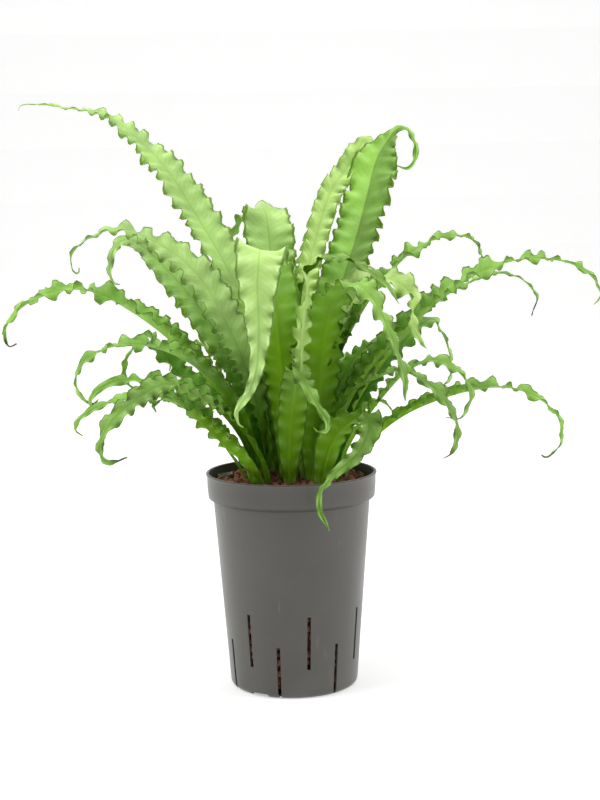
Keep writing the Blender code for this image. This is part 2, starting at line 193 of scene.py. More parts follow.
def pot_profile():
    """The shell's outline, from the middle of its underside over the rim to the middle of its floor."""
    inner_foot = FOOT_RADIUS - POT_WALL
    outline = [(0, 0), (30 * MM, 0), (46 * MM, 0)]
    outline += arc((FOOT_RADIUS - FOOT_ROUND, FOOT_ROUND), FOOT_ROUND, -90, 0, 8)
    for step in range(1, 9):
        share = step / 9
        height = FOOT_ROUND + (NECK_HEIGHT - FOOT_ROUND) * share
        outline.append((FOOT_RADIUS + (NECK_RADIUS - FOOT_RADIUS) * share, height))
    outline += arc((NECK_RADIUS + 1.3 * MM, NECK_HEIGHT + 0.4 * MM), 1.3 * MM, 180, 110, 4)
    outline += arc((COLLAR_RADIUS - 1.3 * MM, COLLAR_FOOT + 0.1 * MM), 1.3 * MM, -80, 0, 5)
    outline += [(COLLAR_RADIUS + 0.8 * MM, COLLAR_FOOT + 9 * MM), (RIM_RADIUS - 0.9 * MM, POT_HEIGHT - 3.4 * MM)]
    outline += arc((RIM_RADIUS - 1 * MM, POT_HEIGHT - 1 * MM), 1 * MM, -60, 90, 8)
    outline += arc((RIM_RADIUS - LIP_WIDTH + 0.7 * MM, POT_HEIGHT - 0.7 * MM), 0.7 * MM, 90, 190, 5)
    outline += [(RIM_RADIUS - POT_WALL - 1.1 * MM, POT_HEIGHT - 4 * MM)]
    outline += [(COLLAR_RADIUS - POT_WALL, COLLAR_FOOT + 2.4 * MM), (NECK_RADIUS - POT_WALL, NECK_HEIGHT + 1.6 * MM)]
    outline += [((inner_foot + NECK_RADIUS - POT_WALL) / 2, NECK_HEIGHT / 2)]
    outline += arc((inner_foot - 4 * MM, POT_FLOOR + 4 * MM), 4 * MM, 0, -90, 5)
    return outline + [(0, POT_FLOOR)]


def press_notch(target):
    """Lifts the pot's foot, and the floor over it, where the notch is."""
    middle = math.radians(NOTCH_HEADING)
    for vertex in target.data.vertices:
        radius = vertex.co.xy.length
        height = vertex.co.z
        aside = radius * abs(math.remainder(math.atan2(vertex.co.y, vertex.co.x) - middle, 2 * math.pi))
        if radius < 45 * MM or height > POT_FLOOR + FOOT_ROUND or aside > NOTCH_WIDTH / 2:
            continue
        inside = radius < FOOT_RADIUS - POT_WALL and height >= POT_FLOOR
        vertex.co.z = height + NOTCH_HEIGHT if inside else max(height, NOTCH_HEIGHT)


def slots_tree():
    """Cuts a ring of upright slots, high and low by turns."""
    tree, given, out = new_group("slots", "GeometryNodeTree", {
        "Geometry": ("NodeSocketGeometry", None),
        "Slots": ("NodeSocketInt", None),
        "First heading": ("NodeSocketFloat", None),
        "Ring radius": ("NodeSocketFloat", None),
        "High foot": ("NodeSocketFloat", None),
        "Low foot": ("NodeSocketFloat", None),
        "Slot size": ("NodeSocketVector", None),
        "Sharp angle": ("NodeSocketFloat", None),
        "Material": ("NodeSocketMaterial", None),
    }, {"Geometry": ("NodeSocketGeometry", None)})
    index = node(tree, "GeometryNodeInputIndex").outputs[0]
    pitch = maths(tree, "DIVIDE", 2 * math.pi, given["Slots"])
    heading = maths(tree, "MULTIPLY_ADD", index, pitch, given["First heading"])
    odd = maths(tree, "MODULO", index, 2)
    foot = node(tree, "ShaderNodeMix", {0: odd, 2: given["High foot"], 3: given["Low foot"]}).outputs[0]
    tall = node(tree, "ShaderNodeSeparateXYZ", {0: given["Slot size"]}).outputs[2]
    middle = maths(tree, "MULTIPLY_ADD", tall, 0.5, foot)
    turn = node(tree, "ShaderNodeCombineXYZ", {2: heading}).outputs[0]
    place = node(tree, "ShaderNodeCombineXYZ", {0: given["Ring radius"], 2: middle}).outputs[0]
    place = node(tree, "FunctionNodeRotateVector", {0: place, 1: turn}).outputs[0]
    points = node(tree, "GeometryNodePoints", {"Count": given["Slots"], "Position": place}).outputs[0]
    block = node(tree, "GeometryNodeMeshCube", {"Size": given["Slot size"]}).outputs[0]
    inputs = {"Points": points, "Instance": block, "Rotation": turn}
    slots = node(tree, "GeometryNodeInstanceOnPoints", inputs).outputs[0]
    slots = node(tree, "GeometryNodeRealizeInstances", {0: slots}).outputs[0]
    inputs = {"Mesh 1": given["Geometry"], "Mesh 2": slots}
    cut = node(tree, "GeometryNodeMeshBoolean", inputs, operation="DIFFERENCE", solver="EXACT")
    shell = sharpened(tree, cut.outputs[0], given["Sharp angle"])
    shell = node(tree, "GeometryNodeRealizeInstances", {0: shell}).outputs[0]
    shell = node(tree, "GeometryNodeSetMaterial", {"Geometry": shell, "Material": given["Material"]}).outputs[0]
    tree.links.new(shell, out.inputs[0])
    return tree


def sharpened(tree, mesh, angle):
    """A mesh with smooth faces, and with the edges that bend more than this angle left sharp."""
    mesh = node(tree, "GeometryNodeSetShadeSmooth", {0: mesh, "Shade Smooth": True}, domain="FACE").outputs[0]
    bent = maths(tree, "GREATER_THAN", node(tree, "GeometryNodeInputMeshEdgeAngle").outputs[0], angle)
    inputs = {0: mesh, "Selection": bent, "Shade Smooth": False}
    return node(tree, "GeometryNodeSetShadeSmooth", inputs, domain="EDGE").outputs[0]


def pot_plastic():
    """Satin polypropylene: a fine moulded grain, upright scuffs, a little dust in the low places, and painted shade in
    the corner under the collar.
    """
    material, tree, shader = new_material("pot_plastic", {
        "Specular IOR Level": 0.42,
        "Sheen Weight": 0.3,
        "Sheen Roughness": 0.4,
    })
    place = node(tree, "ShaderNodeTexCoord").outputs["Object"]
    cloud = node(tree, "ShaderNodeTexNoise", {0: place, "Scale": 16.0, "Detail": 4.0}).outputs[0]
    tone = mixed(tree, ranged(tree, cloud, 0.3, 0.7), colour(*POT_GREY), colour(0.086, 0.082, 0.074))
    upright = node(tree, "ShaderNodeMapping", {0: place, "Scale": (170, 170, 26)}).outputs[0]
    strokes = node(tree, "ShaderNodeTexNoise", {0: upright, "Scale": 1.0, "Detail": 3.0, "Distortion": 0.6}).outputs[0]
    patches = node(tree, "ShaderNodeTexNoise", {0: place, "Scale": 24.0, "Detail": 2.0}).outputs[0]
    scuff = maths(tree, "MULTIPLY", ranged(tree, strokes, 0.6, 0.74), ranged(tree, patches, 0.5, 0.66))
    height = node(tree, "ShaderNodeSeparateXYZ", {0: place}).outputs[2]
    dust = maths(tree, "MULTIPLY", ranged(tree, height, 30 * MM, 0.0), ranged(tree, cloud, 0.4, 0.7))
    worn = maths(tree, "MAXIMUM", maths(tree, "MULTIPLY", scuff, 0.5), maths(tree, "MULTIPLY", dust, 0.3))
    tone = mixed(tree, worn, tone, colour(*POT_SCUFF))
    # Painted shade: a dark band in the corner under the collar.
    above_corner = maths(tree, "ABSOLUTE", maths(tree, "SUBTRACT", height, NECK_HEIGHT + 1.4 * MM))
    painted_collar_shade = ranged(tree, above_corner, 2.2 * MM, 0.8 * MM, 0.0, 0.75)
    tree.links.new(mixed(tree, painted_collar_shade, tone, colour(0.01, 0.01, 0.009)), shader.inputs["Base Color"])
    rough = ranged(tree, cloud, 0.3, 0.7, 0.36, 0.46)
    tree.links.new(maths(tree, "MULTIPLY_ADD", worn, 0.25, rough), shader.inputs["Roughness"])
    grain = node(tree, "ShaderNodeTexNoise", {0: place, "Scale": 1500.0, "Detail": 1.0}).outputs[0]
    relief = maths(tree, "MULTIPLY_ADD", strokes, 0.5, grain)
    bump = node(tree, "ShaderNodeBump", {"Strength": 0.1, "Distance": 0.0004, "Height": relief}).outputs[0]
    tree.links.new(bump, shader.inputs["Normal"])
    return material


pot = turned("culture_pot", pot_profile(), POT_SIDES)
press_notch(pot)
shape_with(
    pot, slots_tree(),
    **{
        "Slots": SLOT_COUNT,
        "First heading": math.radians(FIRST_SLOT),
        "Ring radius": FOOT_RADIUS,
        "High foot": HIGH_SLOT[0],
        "Low foot": LOW_SLOT[0],
        "Slot size": (16 * MM, SLOT_WIDTH, HIGH_SLOT[1] - HIGH_SLOT[0]),
        "Sharp angle": POT_SHARP,
        "Material": pot_plastic(),
    })
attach(pot, "root")
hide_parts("pot")

# The water gauge's shaft: a grey-green plastic tube that stands in the granulate against the pot's wall,
# leaning as the wall does. A turned plug sits a little way down its mouth.

SHAFT_HEADING = 165
SHAFT_DISTANCE = 60.8 * MM
SHAFT_LEAN = 4.4
SHAFT_RADIUS = 7 * MM
SHAFT_BORE = 5.4 * MM
SHAFT_LENGTH = 165 * MM
SHAFT_TOP = 185.5 * MM
SHAFT_DEPTH = 9 * MM


def shaft_matrix():
    """Where the shaft's mouth is, and how it leans."""
    heading = Matrix.Rotation(math.radians(SHAFT_HEADING), 4, "Z")
    mouth = Matrix.Translation((SHAFT_DISTANCE, 0, SHAFT_TOP))
    return heading @ mouth @ Matrix.Rotation(math.radians(SHAFT_LEAN), 4, "Y")


def shaft_profile():
    """The tube's outline, from the middle of its foot over its lip to the middle of the plug."""
    lip = (SHAFT_RADIUS - SHAFT_BORE) / 2
    outline = [(0, -SHAFT_LENGTH), (SHAFT_RADIUS - 0.6 * MM, -SHAFT_LENGTH), (SHAFT_RADIUS, -SHAFT_LENGTH + 0.6 * MM)]
    outline += [(SHAFT_RADIUS - 0.1 * MM, -2.2 * MM)]
    outline += arc((SHAFT_BORE + lip, -lip), lip, 0, 180, 8)
    outline += [(SHAFT_BORE, -SHAFT_DEPTH + 1.2 * MM), (SHAFT_BORE - 0.5 * MM, -SHAFT_DEPTH + 0.7 * MM)]
    outline += [(2.4 * MM, -SHAFT_DEPTH + 0.7 * MM), (2 * MM, -SHAFT_DEPTH + 0.2 * MM)]
    return outline + [(0, -SHAFT_DEPTH + 0.2 * MM)]


def finish_tree():
    """Smooth faces, sharp edges and a material for a turned piece."""
    tree, given, out = new_group("moulded", "GeometryNodeTree", {
        "Geometry": ("NodeSocketGeometry", None),
        "Sharp angle": ("NodeSocketFloat", None),
        "Material": ("NodeSocketMaterial", None),
    }, {"Geometry": ("NodeSocketGeometry", None)})
    mesh = sharpened(tree, given["Geometry"], given["Sharp angle"])
    mesh = node(tree, "GeometryNodeRealizeInstances", {0: mesh}).outputs[0]
    mesh = node(tree, "GeometryNodeSetMaterial", {"Geometry": mesh, "Material": given["Material"]}).outputs[0]
    tree.links.new(mesh, out.inputs[0])
    return tree


def shaft_plastic():
    """Grey-green plastic with a chalky film where water has dried."""
    material, tree, shader = new_material("shaft_plastic", {"Specular IOR Level": 0.4})
    place = node(tree, "ShaderNodeTexCoord").outputs["Object"]
    film = node(tree, "ShaderNodeTexNoise", {0: place, "Scale": 260.0, "Detail": 5.0}).outputs[0]
    chalky = ranged(tree, film, 0.48, 0.72)
    tone = mixed(tree, chalky, colour(0.11, 0.13, 0.10), colour(0.25, 0.27, 0.22))
    tree.links.new(tone, shader.inputs["Base Color"])
    tree.links.new(ranged(tree, film, 0.3, 0.7, 0.38, 0.62), shader.inputs["Roughness"])
    bump = node(tree, "ShaderNodeBump", {"Strength": 0.15, "Distance": 0.0003, "Height": film}).outputs[0]
    tree.links.new(bump, shader.inputs["Normal"])
    return material


shaft = turned("water_gauge_shaft", shaft_profile(), 64)
shaft.data.transform(shaft_matrix())
shape_with(shaft, finish_tree(), **{"Sharp angle": math.radians(50), "Material": shaft_plastic()})
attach(shaft, "root")
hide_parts("gauge_shaft")

# The granulate: fired clay pellets, 5 to 8 mm across, poured loose into the pot round the roots. The
# ones that show lie on the top and behind the slots, over a core that stands for the rest.

FILL_TOP = 184 * MM
FILL_HEAP = 4 * MM
PELLET_RADIUS = 3.9 * MM
PELLET_STEP = 6.0 * MM
TOP_DEPTHS = (-1 * MM, 3.8 * MM)
WALL_STANDOFF = 4.0 * MM
STRIP_WIDTH = 13 * MM
CORE_STANDOFF = 5.5 * MM


def wall_radius(height):
    """The pot's inner radius at a height."""
    share = (height - FOOT_ROUND) / (NECK_HEIGHT - FOOT_ROUND)
    return FOOT_RADIUS - POT_WALL + (NECK_RADIUS - FOOT_RADIUS) * max(share, 0)


def core_profile():
    """The core's outline, from the middle of its foot to the middle of its top."""
    foot = POT_FLOOR + 3.5 * MM
    outline = [(0, foot), (wall_radius(foot) - 3 * CORE_STANDOFF / 2, foot)]
    outline += [(wall_radius(height) - CORE_STANDOFF, height) for height in (12 * MM, 80 * MM, 172 * MM)]
    edge = wall_radius(172 * MM) - CORE_STANDOFF
    return outline + [(edge, FILL_TOP - FILL_HEAP - TOP_DEPTHS[1]), (0, FILL_TOP - TOP_DEPTHS[1])]


def add_disc(shape, depth):
    """A shallow cone under the granulate's top, for pellets to lie on."""
    rings = []
    for ring in range(1, 9):
        radius = (wall_radius(178 * MM) + 0.8 * MM - PELLET_RADIUS) * ring / 8
        height = FILL_TOP - FILL_HEAP * radius / NECK_RADIUS - depth
        angles = [2 * math.pi * side / 48 for side in range(48)]
        rings.append([shape.verts.new((radius * math.cos(a), radius * math.sin(a), height)) for a in angles])
    middle = shape.verts.new((0, 0, FILL_TOP - depth))
    for side in range(48):
        shape.faces.new((middle, rings[0][side], rings[0][(side + 1) % 48]))
        for low, high in zip(rings, rings[1:]):
            shape.faces.new((low[side], high[side], high[(side + 1) % 48], low[(side + 1) % 48]))


def add_strip(shape, heading, foot, top):
    """An upright strip of wall behind a slot, for pellets to lean on."""
    rows = []
    for height in (foot, (foot + top) / 2, top):
        radius = wall_radius(height) - WALL_STANDOFF
        swing = STRIP_WIDTH / 2 / radius
        angles = (heading - swing, heading, heading + swing)
        rows.append([shape.verts.new((radius * math.cos(a), radius * math.sin(a), height)) for a in angles])
    for low, high in zip(rows, rows[1:]):
        for side in (0, 1):
            shape.faces.new((low[side], low[side + 1], high[side + 1], high[side]))


def beds():
    """The faces on which pellets lie: two layers on top, and a strip behind each slot."""
    shape = bmesh.new()
    for depth in TOP_DEPTHS:
        add_disc(shape, depth)
    for index in range(SLOT_COUNT):
        foot, top = HIGH_SLOT if index % 2 == 0 else LOW_SLOT
        heading = math.radians(FIRST_SLOT + index * 360 / SLOT_COUNT)
        add_strip(shape, heading, max(foot - 2 * MM, 8 * MM), top + 3 * MM)
    return new_object("beds", shape)


def pellets_tree():
    """Scatters rough pellets over the beds, and joins the core to them."""
    tree, given, out = new_group("pellets", "GeometryNodeTree", {
        "Geometry": ("NodeSocketGeometry", None),
        "Core": ("NodeSocketObject", None),
        "Pellet radius": ("NodeSocketFloat", None),
        "Step": ("NodeSocketFloat", None),
        "Seed": ("NodeSocketInt", None),
        "Material": ("NodeSocketMaterial", None),
    }, {"Geometry": ("NodeSocketGeometry", None)})
    inputs = {"Mesh": given["Geometry"], "Distance Min": given["Step"], "Density Max": 200000.0, "Seed": given["Seed"]}
    scatter = node(tree, "GeometryNodeDistributePointsOnFaces", inputs, distribute_method="POISSON")
    ball = node(tree, "GeometryNodeMeshIcoSphere", {"Radius": given["Pellet radius"], "Subdivisions": 2}).outputs[0]
    place = node(tree, "GeometryNodeInputPosition").outputs[0]
    lumps = node(tree, "ShaderNodeTexNoise", {"Vector": place, "Scale": 190.0, "Detail": 1.0}).outputs["Color"]
    push = stretched(tree, vectors(tree, "SUBTRACT", lumps, (0.5, 0.5, 0.5)), 0.0052)
    ball = node(tree, "GeometryNodeSetPosition", {"Geometry": ball, "Offset": push}).outputs[0]

    def drawn(low, high, offset):
        """A random vector for each pellet, with the seed moved on by the offset."""
        seed = maths(tree, "ADD", given["Seed"], offset)
        inputs = {0: low, 1: high, "Seed": seed}
        return node(tree, "FunctionNodeRandomValue", inputs, data_type="FLOAT_VECTOR").outputs[0]

    size = drawn((0.75, 0.7, 0.7), (1.15, 1.05, 1.0), 1)
    turn = drawn((0, 0, 0), (2 * math.pi, 2 * math.pi, 2 * math.pi), 2)
    inputs = {"Points": scatter.outputs[0], "Instance": ball, "Rotation": turn, "Scale": size}
    lying = node(tree, "GeometryNodeInstanceOnPoints", inputs).outputs[0]
    tint = node(tree, "FunctionNodeRandomValue", {"Seed": maths(tree, "ADD", given["Seed"], 3)}).outputs[1]
    inputs = {"Geometry": lying, "Name": "pellet", "Value": tint}
    lying = node(tree, "GeometryNodeStoreNamedAttribute", inputs, domain="INSTANCE", data_type="FLOAT").outputs[0]
    core = node(tree, "GeometryNodeObjectInfo", {"Object": given["Core"]}).outputs["Geometry"]
    whole = node(tree, "GeometryNodeJoinGeometry")
    for part in (core, lying):
        tree.links.new(part, whole.inputs[0])
    mesh = node(tree, "GeometryNodeRealizeInstances", {0: whole.outputs[0]}).outputs[0]
    mesh = node(tree, "GeometryNodeSetShadeSmooth", {0: mesh, "Shade Smooth": True}).outputs[0]
    mesh = node(tree, "GeometryNodeSetMaterial", {"Geometry": mesh, "Material": given["Material"]}).outputs[0]
    tree.links.new(mesh, out.inputs[0])
    return tree


def fired_clay():
    """Red-brown fired clay, rough and full of pores, each pellet a little lighter or darker."""
    material, tree, shader = new_material("fired_clay", {"Specular IOR Level": 0.2})
    place = node(tree, "ShaderNodeTexCoord").outputs["Object"]
    tint = node(tree, "ShaderNodeAttribute", attribute_name="pellet").outputs["Fac"]
    blotch = node(tree, "ShaderNodeTexNoise", {0: place, "Scale": 420.0, "Detail": 4.0}).outputs[0]
    body = mixed(tree, tint, colour(0.11, 0.04, 0.026), colour(0.32, 0.13, 0.08))
    body = mixed(tree, ranged(tree, blotch, 0.5, 0.75, 0.0, 0.6), body, colour(0.45, 0.23, 0.16))
    pores = node(tree, "ShaderNodeTexVoronoi", {0: place, "Scale": 900.0}).outputs[0]
    body = mixed(tree, ranged(tree, pores, 0.22, 0.05, 0.0, 0.5), body, colour(0.05, 0.018, 0.012))
    tree.links.new(body, shader.inputs["Base Color"])
    tree.links.new(ranged(tree, blotch, 0.3, 0.7, 0.8, 0.95), shader.inputs["Roughness"])
    relief = maths(tree, "MULTIPLY_ADD", ranged(tree, pores, 0.0, 0.4), 0.6, blotch)
    bump = node(tree, "ShaderNodeBump", {"Strength": 0.8, "Distance": 0.0006, "Height": relief}).outputs[0]
    tree.links.new(bump, shader.inputs["Normal"])
    return material


core = turned("core", core_profile(), 96)
granulate = beds()
granulate.name = "clay_granulate"
shape_with(
    granulate, pellets_tree(),
    **{"Core": core, "Pellet radius": PELLET_RADIUS, "Step": PELLET_STEP, "Seed": 11, "Material": fired_clay()})
bpy.data.objects.remove(core)
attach(granulate, "root")
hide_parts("granulate")

# The fronds: 36 strap-shaped fronds that rise from one crown and arch out, each a thin blade with a
# groove along its upper face, a keel under it, and edges crimped into a frill. They end in a long
# thin tip that curls under. The newest ones are yellow-green, narrow and still crumpled.

CROWN = Vector((5 * MM, 0, 0))
STEM_SHARE = 0.36
TIP_POINT = 0.7 * MM
ROLLED_BY = 0.5
MIDRIB_STEPS = 24
ROW_STEP = 2.0 * MM
COLUMNS = 27
BLADE_THICKNESS = 0.55 * MM
KEEL_HEIGHT = 1.1 * MM
GROOVE_DEPTH = 0.35 * MM
RIB_HALF_WIDTH = 1.5 * MM
FRILL_HEIGHT = 3.7 * MM
FRILL_DEPTH = 9.5 * MM
FRILL_PITCH = (13 * MM, 17 * MM)
SWAY_PITCH = 44 * MM
BILLOW = 5 * MM
CRINKLE_HEIGHT = 1.1 * MM
CRINKLE_PITCH = (5.5 * MM, 7 * MM)

# Each frond's points are (out, height) in mm: out from the crown's middle along its heading, and
# height above the surface that the pot stands on. A third number is a step to the heading's left.
# The rest says where along it the blade starts to narrow, how far its halves fold up from the rib, in
# degrees, how strong its frill is, half the width of its tip in mm, how far that turns over in degrees,
# where along it the dark foot ends, which is painted shade, and how much lighter than its tint it is,
# partly its own tone and partly painted light and shade. Fall is the share of its length over which it
# narrows. Fade is how much lighter it grows towards its tip, and halves how much lighter its left half
# is than its right, both painted light and shade.
FIELDS = "name tint heading half_width roll points taper channel frill tip twist dark light fall fade halves"
Frond = namedtuple("Frond", FIELDS, defaults=(0.5, 16, 1.0, 2.0, 0, 0.5, 0, 0.42, 0, 0))

